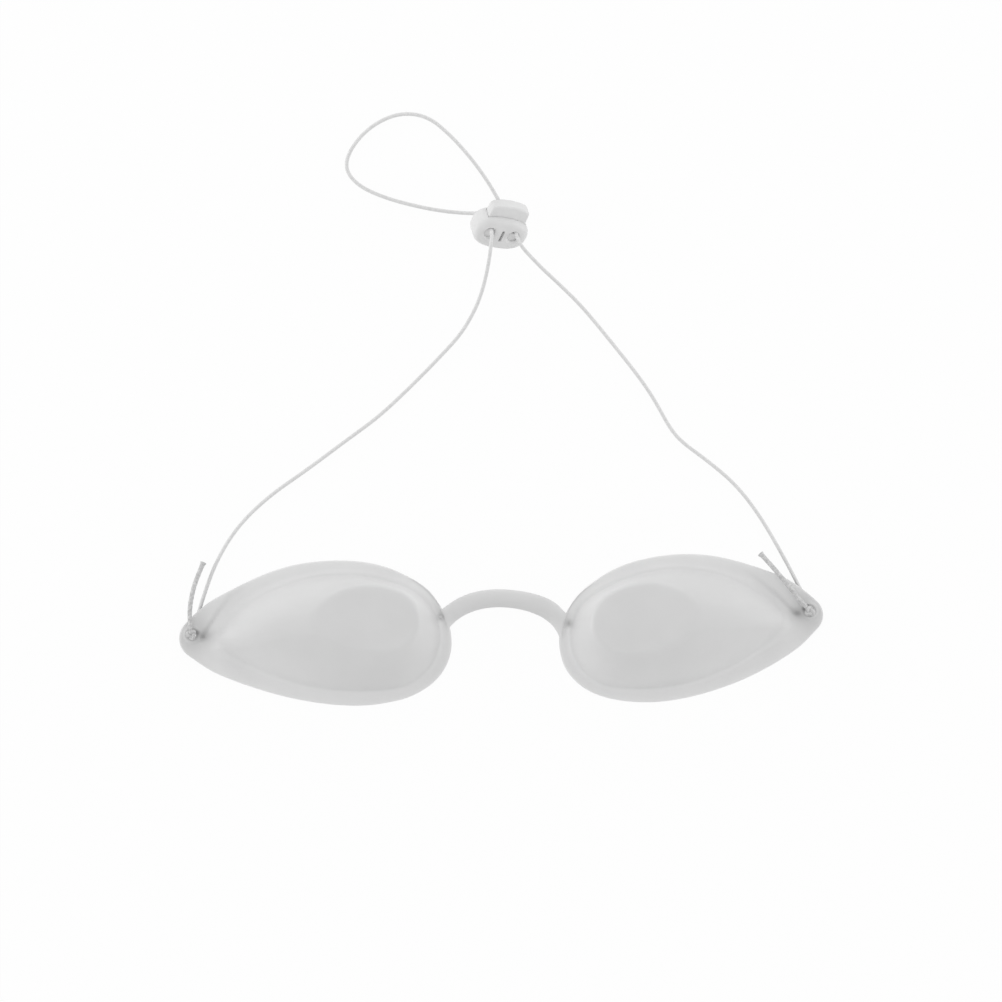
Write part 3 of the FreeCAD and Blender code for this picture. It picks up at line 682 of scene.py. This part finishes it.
def to_polyline(flat, corners):
    """Distance to a bent line, and the share of the line's length at its nearest point."""
    corners = np.array(corners)
    before = run_along(corners)
    lengths = np.diff(before)
    best = np.full(flat.shape[:-1], 1e9)
    where = np.zeros(flat.shape[:-1])
    for start, end, length, run in zip(corners, corners[1:], lengths, before):
        step = (end - start) / length
        t = np.clip((flat - start) @ step, 0.0, length)
        away = np.linalg.norm(flat - start - t[..., None] * step, axis=-1)
        nearer = away < best
        best = np.where(nearer, away, best)
        where = np.where(nearer, (run + t) / lengths.sum(), where)
    return best, where


def small_forms(cup, grid):
    """Adds a Gaussian ring at the hole, and Gaussian pits and grooves by the ear and at the bridge's root.
    """
    placed = place(cup, grid)
    upper = placed[:top_row + 1]
    flat = upper[..., :2]
    hole = np.array(cup["hole"])
    from_hole = np.linalg.norm(flat - hole, axis=-1)
    from_line, along_line = to_polyline(flat, cup["groove"])
    width = 0.45 + 0.55 * along_line
    groove = GROOVE_DEPTH * (1 - smooth_step(along_line)) * bell(from_line, width)
    ring = RING_HEIGHT * bell(from_hole - RING_RADIUS, 0.42)
    way_in = np.array([-cup["mirror"] * 0.97, -0.22])
    ear_pit = EAR_PIT_DEPTH * spot(flat, hole + way_in * 2.6, (1.35, 1.05))
    root_pit = PIT_DEPTH * spot(flat, cup["pit"], 0.75)
    from_root, along_root = to_polyline(flat, cup["root_groove"])
    root_pit += ROOT_GROOVE_DEPTH * (1 - along_root) * bell(from_root, 0.7)
    upper[..., 2] += ring - ear_pit - root_pit - groove
    return placed


for name, cup in (("left", LEFT_CUP), ("right", RIGHT_CUP)):
    cups[name] = small_forms(cup, cups[name])
    print(name, "cup spans", np.round(cups[name].reshape(-1, 3).min(0), 2),
          np.round(cups[name].reshape(-1, 3).max(0), 2))

# %% [markdown]
# ## The nose bridge
# The bridge is moulded in one with the cups, a soft arch with a rounded top. It is a section carried
# between two edge lines read off the photograph. At each end a patch of the rim's edge is left open,
# and the last rings of the bridge flow from the section into the border of that patch, so that cups
# and bridge are one skin.

# %% Edges of the bridge and its section
BRIDGE_BROW_EDGE = [(-9.95, 7.42), (-6.29, 8.82), (-1.05, 9.52), (4.89, 9.05), (10.75, 7.4)]
BRIDGE_NOSE_EDGE = [(-8.5, 3.36), (-5.59, 4.72), (-1.05, 5.22), (6.29, 4.36), (10.2, 2.52)]
BRIDGE_THICKNESS = 1.8
BRIDGE_RINGS = 64
FLOW_LENGTH = 2.6
ROOT_START, ROOT_CELLS = ARC_CELLS[0][0], ARC_CELLS[0][1]


def root_border(grid, offset):
    """Point numbers round the open patch of one rim: brow to nose above, down, back below, up."""
    total = grid.shape[1]
    across = np.arange(ROOT_START, ROOT_START + ROOT_CELLS + 1)
    down = np.arange(top_row, bottom_row + 1)
    upper = top_row * total + across[:-1]
    nose = down[:-1] * total + across[-1]
    lower = bottom_row * total + across[:0:-1]
    brow = down[:0:-1] * total + across[0]
    return offset + np.concatenate([upper, nose, lower, brow])


def edge_line(start, points, end, t):
    """Smooth line through given points: each coordinate is a polynomial of degree 5 in length."""
    route = np.array([start, *points, end])
    run = run_along(route)
    run /= run[-1]
    weight = np.ones(len(run))
    weight[[0, -1]] = 20.0
    return np.stack([np.polyval(np.polyfit(run, route[:, axis], 5, w=weight), t)
                     for axis in range(2)], axis=1)


def bridge_section(count_across, count_down):
    """Superellipse by angle: breadth |cos|^(2/n) and height |sin|^(2/n), rounder above than below."""
    corner = math.radians(38.0)
    spans = [np.linspace(math.pi - corner, corner, count_across + 1)[:-1],
             np.linspace(corner, -corner, count_down + 1)[:-1],
             np.linspace(-corner, corner - math.pi, count_across + 1)[:-1],
             np.linspace(corner - math.pi, -math.pi - corner, count_down + 1)[:-1]]
    angle = np.concatenate(spans)
    power = np.where(np.sin(angle) > 0, 2 / 1.9, 2 / 3.6)
    breadth = np.sign(np.cos(angle)) * np.abs(np.cos(angle)) ** power
    height = np.sign(np.sin(angle)) * np.abs(np.sin(angle)) ** power
    return breadth, 0.5 + 0.5 * height


def nose_bridge(left, right):
    """Rings between the two open patches, in order from left to right."""
    down = bottom_row - top_row
    breadth, height = bridge_section(ROOT_CELLS, down)
    mid = down // 2
    count = ROOT_CELLS
    corners = [(border[-mid], border[count + mid]) for border in (left, right)]
    t = np.linspace(0.0, 1.0, BRIDGE_RINGS + 2)
    brow = edge_line(corners[0][0][:2], BRIDGE_BROW_EDGE, corners[1][0][:2], t)
    nose = edge_line(corners[0][1][:2], BRIDGE_NOSE_EDGE, corners[1][1][:2], t)
    middle = (brow + nose) / 2
    half = (nose - brow) / 2
    flat = middle[:, None, :] + breadth[None, :, None] * half[:, None, :]
    z = np.broadcast_to(BRIDGE_THICKNESS * height, flat.shape[:2])
    rings = np.concatenate([flat, z[..., None]], axis=-1)
    run = run_along(middle)
    from_left = 1 - smooth_step(run / FLOW_LENGTH)
    from_right = 1 - smooth_step((run[-1] - run) / FLOW_LENGTH)
    rings = rings + from_left[:, None, None] * (left - rings[0])
    rings = rings + from_right[:, None, None] * (right - rings[-1])
    width = 2 * np.linalg.norm(half, axis=1)
    print("bridge", round(run[-1], 1), "mm long,", round(width[len(width) // 2], 2), "mm wide")
    return rings[1:-1]


# %% Raise each rim to meet its bridge
for name, cup in (("left", LEFT_CUP), ("right", RIGHT_CUP)):
    grid = cups[name]
    across = np.arange(grid.shape[1]) - ROOT_START
    middle = np.abs(across / ROOT_CELLS * 2 - 1)
    bump = 1 - smooth_step((middle - 0.35) / 1.1)
    rows = np.arange(top_row - RIM_ROWS, top_row + 1)
    ramp = ((rows - rows[0]) / RIM_ROWS)[:, None]
    grid[rows, :, 2] += ROOT_RAISE * smooth_step(ramp) * bump[None, :]
    for extra in range(EDGE_ROWS):
        grid[top_row + 1 + extra, :, 2] += ROOT_RAISE * bump * (0.9 - 0.18 * extra)
    print(name, "rim raised by", round(float(ROOT_RAISE * bump.max()), 2), "mm at the root")

# %% Join cups and bridge into one moulding
def cup_faces(grid, offset):
    """Quads between neighbouring rows, without the open patch, and the fans at the two poles."""
    rows, total = grid.shape[:2]
    number = offset + np.arange(rows * total).reshape(rows, total)
    quads = np.stack([ring_quads(a, b).reshape(total, 4) for a, b in zip(number, number[1:])])
    keep = np.ones((rows - 1, total), bool)
    keep[top_row:bottom_row, ROOT_START:ROOT_START + ROOT_CELLS] = False
    return quads[keep], two_fans(offset + rows * total + np.arange(2), number)


left_grid, right_grid = cups["left"], cups["right"]
cup_points, cup_quads, cup_fans, offsets = [], [], [], []
offset = 0
for grid in (left_grid, right_grid):
    quads, fans = cup_faces(grid, offset)
    poles = np.array([grid[0].mean(0), grid[-1].mean(0)])
    cup_points += [grid.reshape(-1, 3), poles]
    cup_quads.append(quads)
    cup_fans.append(fans)
    offsets.append(offset)
    offset += grid.shape[0] * grid.shape[1] + 2
points = np.concatenate(cup_points)
left_border = root_border(left_grid, offsets[0])
right_border = root_border(right_grid, offsets[1])
rings = nose_bridge(points[left_border], points[right_border])
numbers = offset + np.arange(rings.shape[0] * rings.shape[1]).reshape(rings.shape[:2])
chain = np.concatenate([[left_border], numbers, [right_border]])
points = np.concatenate([points, rings.reshape(-1, 3)])
moulding = new_piece("goggles_moulding", points, np.concatenate([*cup_quads, tube_quads(chain)]),
                     np.concatenate(cup_fans))
outward(moulding)
print("moulding", len(moulding.data.polygons), "faces")

# %% [markdown]
# ## Cord holes through the ears
# A round pin is taken away from each ear.

# %% Cut the two cord holes
HOLE_RADIUS = 0.85
HOLE_SIDES = 40
angle = np.linspace(0.0, 2 * math.pi, HOLE_SIDES, endpoint=False)
circle = HOLE_RADIUS * np.stack([np.cos(angle), np.sin(angle)], axis=1)
combine(moulding, "DIFFERENCE",
        [straight_pin("hole_pin", circle + hole, -1.0, 7.0) for hole in (LEFT_HOLE, RIGHT_HOLE)])
outward(moulding)
print("drilled moulding", len(moulding.data.polygons), "faces")

# %% [markdown]
# ## The cord lock
# A small barrel with two flared cord holes and a slit, and a plunger that slides in a pocket from
# above. A spring holds the plunger up, so that its holes and the barrel's holes pinch the cord. Both
# are blocks with a rounded outline and a rounded edge all round, made in the lock's own directions:
# across from hole to hole, along the press, and out through the face. The holes are cut with turned
# pins, and only then is the lock laid on the table as it lies in the photograph.

# %% Blocks with rounded edges
LOCK_MIDDLE = np.array([-0.47, 93.5, 5.26])
LOCK_AXES = np.array([[0.9094, -0.1454, -0.3896], [0.3940, 0.8078, 0.4384], [0.2007, -0.6671, 0.7175]])
PRESS_TRAVEL = 1.9
BARREL = dict(across=6.6, along=4.05, depth=2.9, edge=1.5)
HEAD = dict(across=4.75, foot=0.9, top=6.95, depth=1.5, edge=0.5, crown=1.0, beside=0.35, square=14.0)
FOOT = dict(across=4.2, foot=-1.65, top=2.4, depth=2.2, edge=0.15, crown=0.0, beside=0.0, square=4.0)
CORD_HOLES = 3.0
HOLE_BORE = 1.3


def round_block(outline, depth, edge, swell):
    """Rows of a block: its faces are the outline shrunk to a point and swell by 1 - share^2, and its
    edge is a quarter circle of radius edge carried along the outline's normal."""
    along = np.roll(outline, -1, axis=0) - np.roll(outline, 1, axis=0)
    normal = unit(np.stack([along[:, 1], -along[:, 0]], axis=1))
    middle = outline.mean(0)
    rows = []
    for share in (0.12, 0.35, 0.55, 0.75, 0.9):
        flat = middle + (outline - middle) * share
        rows.append(np.column_stack([flat, np.full(len(flat), depth + swell * (1 - share ** 2))]))
    for angle in np.linspace(0.0, math.pi / 2, 9):
        flat = outline + normal * edge * math.sin(angle)
        rows.append(np.column_stack([flat, np.full(len(flat), depth - edge + edge * math.cos(angle))]))
    back = [row * (1, 1, -1) for row in rows[::-1]]
    return np.array(rows + back)


def block_mesh(name, rows):
    """Closed mesh of the rows, with a fan at each end."""
    return closed_rows(name, rows, [rows[0].mean(0), rows[-1].mean(0)])


def superellipse(across, along, power, count):
    """Closed outline |x / across|^p + |y / along|^p = 1, counterclockwise from +x."""
    angle = np.linspace(0.0, 2 * math.pi, count, endpoint=False)
    x = across * np.sign(np.cos(angle)) * np.abs(np.cos(angle)) ** (2 / power)
    y = along * np.sign(np.sin(angle)) * np.abs(np.sin(angle)) ** (2 / power)
    return np.stack([x, y], axis=1)


def even_outline(outline, count):
    """The same closed outline with its points at even distances."""
    closed = np.vstack([outline, outline[:1]])
    run = run_along(closed)
    even = np.linspace(0.0, run[-1], count, endpoint=False)
    return np.stack([np.interp(even, run, closed[:, axis]) for axis in range(2)], axis=1)


edge = BARREL["edge"]
barrel_outline = even_outline(superellipse(BARREL["across"] - edge, BARREL["along"] - edge, 2.7, 720), 144)
barrel = block_mesh("lock_barrel", round_block(barrel_outline, BARREL["depth"], edge, 0.25))


def plunger_part(name, form):
    """Block on a squarish superellipse whose top falls as the square of the distance from its middle."""
    half_height = (form["top"] - form["foot"]) / 2
    outline = superellipse(form["across"] - form["edge"], half_height - form["edge"], form["square"], 1440)
    share_up = (outline[:, 1] / half_height + 1) / 2
    outline[:, 1] += form["foot"] + half_height
    outline[:, 1] -= form["crown"] * share_up * (outline[:, 0] / form["across"]) ** 2
    outline[:, 0] += form["beside"]
    return block_mesh(name, round_block(even_outline(outline, 144), form["depth"], form["edge"], 0.0))


plunger = plunger_part("lock_plunger", HEAD)
plunger_foot = plunger_part("lock_plunger_foot", FOOT)
print("barrel and plunger", len(barrel.data.polygons), len(plunger.data.polygons), "faces")


# %% Holes, pocket and slit are cut away
def turned_pins(name, centres, flare, face, reach):
    """Pins turned about z: radius = bore + flare (1 - sqrt(1 - v^2)), v rising to 1 at the face."""
    z = np.concatenate([np.linspace(-reach, -face, 3)[:-1], np.linspace(-face, -face + flare, 9),
                        np.linspace(face - flare, face, 9), np.linspace(face, reach, 3)[1:]])
    inward = np.clip((np.abs(z) - face + flare) / flare, 0.0, 0.985)
    radius = HOLE_BORE + flare * (1 - np.sqrt(1 - inward ** 2)) + np.clip(np.abs(z) - face, 0, 9) * 2
    angle = np.linspace(0.0, 2 * math.pi, 48, endpoint=False)
    pins = []
    for x, y in centres:
        rows = np.stack([x + radius[:, None] * np.cos(angle), y + radius[:, None] * np.sin(angle),
                         np.broadcast_to(z[:, None], (len(z), 48))], axis=-1)
        pins.append(block_mesh(name, rows))
    return pins


def slot(half_width, low, high):
    """Outline of a slot with round ends."""
    angle = np.linspace(0.0, math.pi, 9)
    top = np.stack([np.cos(angle), np.sin(angle)], 1) * half_width + (0.0, high - half_width)
    bottom = -np.stack([np.cos(angle), np.sin(angle)], 1) * half_width + (0.0, low + half_width)
    return np.concatenate([top, bottom])


def pocket(name, form, gap, top, low, high):
    """Room round a part of the plunger: its outline grown by a gap, its lower half moved down by the
    travel and its upper half up to top."""
    half_height = (form["top"] - form["foot"]) / 2
    outline = superellipse(form["across"] + gap, half_height + gap, form["square"], 96)
    outline[:, 0] += form["beside"]
    middle = form["foot"] + half_height
    upper = outline[:, 1] > 1e-6
    outline[:, 1] += np.where(upper, top - middle - half_height, -PRESS_TRAVEL) + middle
    return straight_pin(name, outline, low, high)


combine(barrel, "DIFFERENCE",
        [*turned_pins("pins", ((-CORD_HOLES, 0.1), (CORD_HOLES, 0.1)), 0.6, 3.0, 4.5),
         straight_pin("slit", slot(0.34, -1.5, 1.4), 0.0, 4.0),
         pocket("pocket", HEAD, 0.07, 9.0, -1.58, 1.58),
         pocket("cavity", FOOT, 0.07, 2.5, -2.28, 2.28)])
combine(plunger, "UNION", [plunger_foot])
combine(plunger, "DIFFERENCE",
        turned_pins("pins", ((-CORD_HOLES, 2.0), (CORD_HOLES, 2.0)), 0.2, 2.25, 3.5))
print("after cutting", len(barrel.data.polygons), len(plunger.data.polygons), "faces")

# %% [markdown]
# The coil is a round wire that follows a helix. The real spring stands in a bore of the plunger. No view
# reaches into that bore, so the scene leaves it out: about half of the coil lies inside the plunger at
# rest, and all of it when the button is pressed.

# %% Coil of the spring and the lock's place on the table
SPRING_TURNS = 5.5
SPRING_RADIUS = 0.72
SPRING_PITCH = 0.26
SPRING_FOOT = -2.4
SPRING_WIRE = 0.11
turn = np.linspace(0.0, SPRING_TURNS * 2 * math.pi, 240)
coil = np.stack([SPRING_RADIUS * np.cos(turn), SPRING_FOOT + SPRING_PITCH * turn / (2 * math.pi),
                 SPRING_RADIUS * np.sin(turn)], axis=1)
spring = braided_pipe("lock_coil", coil, turn, SPRING_WIRE, 0.0, (0.0, 1.0, 0.0))


def lay_on_table(piece):
    """Turns a piece from the lock's own directions into the table's, in its mesh."""
    placed = LOCK_MIDDLE + coordinates(piece.data) @ LOCK_AXES
    piece.data.vertices.foreach_set("co", (placed * MM).astype(np.float32).ravel())
    piece.data.update()
    return outward(piece, 40.0), placed


for piece in (barrel, plunger, spring):
    piece, placed = lay_on_table(piece)
    print(piece.name, "spans", np.round(placed.min(0), 2), np.round(placed.max(0), 2))

# %% [markdown]
# ## Painted light and shade on the skin
# The thin rim lies on the white table and glows with it, while the dome hides a dark hollow and the
# ears are lifted off: this glow and shade are painted into the colour as a lighter and a darker tone.
# Creases, pits, the hole and the lifted ear tips get painted shade. Both are worked out once for each
# point and kept in the mesh as an attribute, so that the material can use them.

# %% Painted light and shade of every point
def soften_point(mesh, name, values):
    """Stores one number per point under a name that a material can read."""
    layer = mesh.attributes.new(name, "FLOAT", "POINT")
    layer.data.foreach_set("value", values.astype(np.float32))


found = coordinates(moulding.data)
flat = found[:, :2]
# Painted light: a share that lightens the rim lying on the table. The dome and the lifted ears keep the
# darker tone, and the bridge gets a little of the lighter one.
painted_table_glow = np.zeros(len(found))
for cup in (LEFT_CUP, RIGHT_CUP):
    turn = math.radians(cup["turn"]) * cup["mirror"]
    away = flat - np.array(cup["centre"])
    own_x = (away[:, 0] * math.cos(turn) + away[:, 1] * math.sin(turn)) * cup["mirror"]
    ear_start = cup["length"] - cup["inner"] - EAR_FLAT - EAR_RUN
    lift = EAR_RISE * smooth_step((own_x - ear_start) / EAR_RUN)
    low = 1 - smooth_step((found[:, 2] - lift - 1.3) / 1.0)
    tip = smooth_step((own_x - cup["length"] + cup["inner"] + 9.5) / 6.5)
    here = found[:, 0] * cup["mirror"] > 0
    painted_table_glow = np.where(here, low * (1 - 1.05 * tip), painted_table_glow)
bridge_part = smooth_step((13.0 - np.abs(found[:, 0])) / 2.5) * smooth_step((found[:, 1] - 1.0) / 2.0)
painted_table_glow = painted_table_glow * (1 - bridge_part) + 0.3 * bridge_part
# Painted shade: darker in the ear pit, the root pit and its groove, the brow groove, on the ear tips, in a
# crescent inside the hole and in a ring round it.
painted_shade = np.zeros(len(found))
for cup in (LEFT_CUP, RIGHT_CUP):
    hole = np.array(cup["hole"])
    from_hole = np.linalg.norm(flat - hole, axis=1)
    near_hole = 1 - smooth_step((from_hole - 2.0) / 4.0)
    from_root, along_root = to_polyline(flat, cup["root_groove"])
    from_line, along_line = to_polyline(flat, cup["groove"])
    painted_shade += 0.4 * spot(flat, hole + np.array([-cup["mirror"] * 0.97, -0.22]) * 2.5, (1.7, 1.35))
    painted_shade += 0.3 * spot(flat, cup["pit"], 0.9)
    painted_shade += 0.2 * (1 - along_root) * bell(from_root, 0.9)
    painted_shade += 0.2 * (1 - along_line) * bell(from_line, 0.5 + 0.7 * along_line)
    painted_shade += 0.15 * near_hole * (flat[:, 0] * cup["mirror"] > 60.0)
    painted_shade += 0.8 * spot(flat, hole + np.array([-cup["mirror"] * 0.9, 0.35]) * 1.3, 0.55)
    painted_shade += 0.12 * bell(from_hole - 1.3, 0.3)
painted_shade *= found[:, 2] > 0.9
soften_point(moulding.data, "painted_table_glow", np.clip(painted_table_glow, 0.0, 1.0))
soften_point(moulding.data, "painted_shade", np.clip(painted_shade, 0.0, 1.0))
print("points on the table", int((painted_table_glow > 0.5).sum()), "of", len(found))

# %% [markdown]
# ## Finishes
# The moulding is a milky, slightly see-through soft plastic with a satin skin: light goes a little way
# in and comes out again, which is what subsurface scattering does. Faint clouds in its tone and a
# very fine unevenness of the skin keep it from looking like paint.

# %% Material helpers
def add_node(tree, kind, inputs=None, **settings):
    """New shader node. An input given as a socket is linked, and any other value is set."""
    node = tree.nodes.new("ShaderNode" + kind)
    for key, value in settings.items():
        setattr(node, key, value)
    for key, value in (inputs or {}).items():
        if isinstance(value, bpy.types.NodeSocket):
            tree.links.new(value, node.inputs[key])
        else:
            node.inputs[key].default_value = value
    return node


def noise(tree, scale, detail, rough=0.5):
    """Noise pattern in the object's own metres, features about 1 / scale metres across."""
    place_at = add_node(tree, "TexCoord").outputs["Object"]
    return add_node(tree, "TexNoise", {"Vector": place_at, "Scale": scale, "Detail": detail,
                                       "Roughness": rough}).outputs["Fac"]


def clouds(tree, scale, detail, low, high, rough=0.5, start=0.3, end=0.7):
    """Grey that goes from low to high as the noise pattern goes from start to end."""
    ramp = add_node(tree, "ValToRGB", {"Fac": noise(tree, scale, detail, rough)})
    for element, position, tone in zip(ramp.color_ramp.elements, (start, end), (low, high)):
        element.position = position
        element.color = (tone, tone, tone, 1.0)
    return ramp.outputs["Color"]


def by_attribute(tree, name, first, second):
    """Colour that goes from first to second as the attribute of that name goes from 0 to 1."""
    share = add_node(tree, "Attribute", attribute_name=name).outputs["Fac"]
    return add_node(tree, "Mix", {"Factor": share, 6: first, 7: second}, data_type="RGBA").outputs[2]


def new_material(name, tone, roughness, patterns, values, bumps):
    """Principled material: clouds linked to some inputs, constant values on others, and bumps, each
    a noise scale and detail, a depth in metres and a strength, laid one over the other."""
    material = bpy.data.materials.new(name)
    material.use_nodes = True
    tree = material.node_tree
    shader = tree.nodes["Principled BSDF"]
    shader.subsurface_method = "RANDOM_WALK"
    values = {"Base Color": (tone, tone, tone, 1.0), "Roughness": roughness, **values}
    for key, value in values.items():
        shader.inputs[key].default_value = value
    for key, pattern in patterns.items():
        tree.links.new(clouds(tree, *pattern), shader.inputs[key])
    normal = {}
    for scale, detail, depth, strength in bumps:
        node = add_node(tree, "Bump", {"Strength": strength, "Distance": depth,
                                       "Height": noise(tree, scale, detail), **normal})
        normal = {"Normal": node.outputs["Normal"]}
        tree.links.new(node.outputs["Normal"], shader.inputs["Normal"])
    return material


def dress(pieces, material):
    """Gives each piece this material alone."""
    for piece in pieces:
        piece.data.materials.clear()
        piece.data.materials.append(material)


# %% Milky soft plastic
# The dome tone is the plastic with painted shade, the rim tone is the same plastic with painted glow, and
# the grey is painted shade.
DOME_SHADED_TONE = 0.73
RIM_GLOW_TONE = 0.808
PAINTED_SHADE_COLOUR = (0.36, 0.36, 0.36, 1.0)
plastic = new_material(
    "milky_soft_plastic", DOME_SHADED_TONE, 0.4, {"Roughness": (260.0, 4.0, 0.36, 0.48)},
    {"Subsurface Weight": 0.25, "Subsurface Radius": (1.0, 1.0, 1.0), "Subsurface Scale": 0.0016,
     "IOR": 1.45}, [(9000.0, 2.0, 0.00001, 0.5), (350.0, 2.0, 0.00006, 0.5)])
tree = plastic.node_tree
# Painted light: the tone goes from the shaded dome tone to the lit rim tone as the painted table glow
# rises.
table_glow_tone = by_attribute(tree, "painted_table_glow", clouds(tree, 90.0, 3.0, DOME_SHADED_TONE - 0.012, DOME_SHADED_TONE + 0.012),
                     clouds(tree, 90.0, 3.0, RIM_GLOW_TONE - 0.01, RIM_GLOW_TONE + 0.01))
# Painted shade: creases, pits, the hole and the ear tips darken towards the grey.
tree.links.new(by_attribute(tree, "painted_shade", table_glow_tone, PAINTED_SHADE_COLOUR),
               tree.nodes["Principled BSDF"].inputs["Base Color"])
dress([moulding], plastic)
print(plastic.name, len(tree.nodes), "nodes")

# %% [markdown]
# The cord's yarn is matt and soft. Its ribs are real geometry, and only the single threads inside
# each yarn are left to the bump. Slack yarn at the tails is looser, so dark gaps show between its
# threads.

# %% Yarn of the cord
SOFT_SHEEN = {"Sheen Weight": 0.15, "Sheen Roughness": 0.5}
yarn = new_material("elastic_yarn", 0.63, 0.8, {"Base Color": (1800.0, 3.0, 0.715, 0.81)},
                    SOFT_SHEEN, [(7000.0, 3.0, 0.00003, 0.6)])
slack = new_material("slack_yarn", 0.55, 0.85,
                     {"Base Color": (1500.0, 4.0, 0.5, 0.72, 0.7, 0.36, 0.64)},
                     SOFT_SHEEN, [(5000.0, 3.0, 0.00005, 0.8)])
dress(cords.values(), yarn)
dress((left_tail, right_tail, left_knot, right_knot), slack)
print("two yarns on", len(cords) + 4, "pieces")

# %% [markdown]
# The lock is a harder, opaque plastic with a fine satin skin, and a small steel spring hides in it.

# %% Lock plastic and spring steel
lock_plastic = new_material(
    "lock_plastic", 0.63, 0.45,
    {"Base Color": (300.0, 3.0, 0.75, 0.79), "Roughness": (900.0, 3.0, 0.4, 0.5)},
    {"Subsurface Weight": 0.15, "Subsurface Radius": (1.0, 1.0, 1.0), "Subsurface Scale": 0.0008},
    [(6000.0, 2.0, 0.00001, 0.6)])
steel = new_material(
    "spring_steel", 0.6, 0.3,
    {"Base Color": (3000.0, 2.0, 0.5, 0.65), "Roughness": (5000.0, 3.0, 0.22, 0.4)},
    {"Metallic": 1.0}, [])
dress((barrel, plunger), lock_plastic)
dress([spring], steel)
print("lock in", lock_plastic.name, "and", steel.name)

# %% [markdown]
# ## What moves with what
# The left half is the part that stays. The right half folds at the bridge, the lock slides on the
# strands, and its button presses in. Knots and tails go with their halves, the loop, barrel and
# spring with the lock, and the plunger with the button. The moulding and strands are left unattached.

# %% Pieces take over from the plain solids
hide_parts("left_eye_cup", "right_eye_cup", "nose_bridge")
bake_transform(moulding)
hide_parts("left_strand")
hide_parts("right_strand_upper")
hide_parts("right_strand_lower")
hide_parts("cord_loop")
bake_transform(cords["head_cord_left"])
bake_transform(cords["head_cord_right_upper"])
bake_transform(cords["head_cord_right_lower"])
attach(cords["head_cord_loop"], "cord_lock")
for piece, node, body in ((left_knot, "left_knot", "left_half"), (left_tail, "left_tail", "left_half"),
                          (right_knot, "right_knot", "right_half"),
                          (right_tail, "right_tail", "right_half")):
    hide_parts(node)
    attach(piece, body)
for piece, node, body, slot_name in ((barrel, "lock_body", "cord_lock", "lock_plastic"),
                                     (plunger, "lock_button", "button", "lock_plastic"),
                                     (spring, "lock_spring", "cord_lock", "spring_steel")):
    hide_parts(node)
    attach(piece, body)


# %% [markdown]
# ## The cord's ends
# The lock is the fitting that the left strand ends in, and the knots and tails belong to the strands
# whose ends they are.


# %% [markdown]
# ## Table and light
# The photograph was taken in a white tent: light comes from all round, a little more from the brow
# side and from both ends than from the cheek side. The table is a pale plane that stays white for the
# camera but still takes the soft shadow of the goggles.

# %% White table
REACH = 3.0
PAPER_COLOUR = (0.94, 0.94, 0.94, 1.0)
PAPER_GLOW = 0.95


def for_direct_rays(tree, share, other, direct):
    """Mix of two shaders: the direct one, by this share, for rays from the camera, off a gloss and
    through a clear body, and the other one for all the rest."""
    rays = add_node(tree, "LightPath").outputs
    one_of = {0: rays["Is Camera Ray"], 1: rays["Is Glossy Ray"]}
    one_of = {0: add_node(tree, "Math", one_of, operation="MAXIMUM").outputs[0],
              1: rays["Is Transmission Ray"]}
    part = {0: add_node(tree, "Math", one_of, operation="MAXIMUM").outputs[0], 1: share}
    factor = add_node(tree, "Math", part, operation="MULTIPLY").outputs[0]
    return add_node(tree, "MixShader", {0: factor, 1: other.outputs[0], 2: direct.outputs[0]}).outputs[0]


table_mesh = bpy.data.meshes.new("table")
table_mesh.from_pydata([(-REACH, -REACH, 0.0), (REACH, -REACH, 0.0), (REACH, REACH, 0.0),
                        (-REACH, REACH, 0.0)], [], [(0, 1, 2, 3)])
table = add_object("table", table_mesh)
paper = bpy.data.materials.new("white_paper")
paper.use_nodes = True
tree = paper.node_tree
tree.nodes.clear()
matt = add_node(tree, "BsdfDiffuse", {"Color": PAPER_COLOUR})
glow = add_node(tree, "Emission", {"Strength": 1.0})
add_node(tree, "OutputMaterial", {"Surface": for_direct_rays(tree, PAPER_GLOW, matt, glow)})
table_mesh.materials.append(paper)
print("table", 2 * REACH, "m wide")

# %% White tent of light
TENT_STRENGTH = 0.93
LIGHTS_AIM = (0.0, 0.01, 0.0)
world = bpy.data.worlds.new("tent")
bpy.context.scene.world = world
world.use_nodes = True
tree = world.node_tree
tree.nodes.clear()
soft = add_node(tree, "Background", {"Strength": TENT_STRENGTH})
plain = add_node(tree, "Background", {"Strength": 1.0})
add_node(tree, "OutputWorld", {"Surface": for_direct_rays(tree, 1.0, soft, plain)})


def panel(name, place_at, size, watts):
    """Square soft light that looks at the middle of the goggles."""
    data = bpy.data.lights.new(name, "AREA")
    data.shape = "RECTANGLE"
    data.size, data.size_y = size
    data.energy = watts
    light = add_object(name, data)
    light.location = place_at
    light.rotation_mode = "QUATERNION"
    aim = np.array(LIGHTS_AIM) - np.array(place_at)
    light.rotation_quaternion = Vector(aim).to_track_quat("-Z", "Y")
    print(name, watts, "W")


panel("brow_side_light", (0.0, 0.62, 0.17), (0.9, 0.25), 0.72)
panel("left_end_light", (-0.9, 0.0, 0.2), (0.5, 0.4), 1.9)
panel("right_end_light", (0.9, 0.0, 0.2), (0.5, 0.4), 1.5)
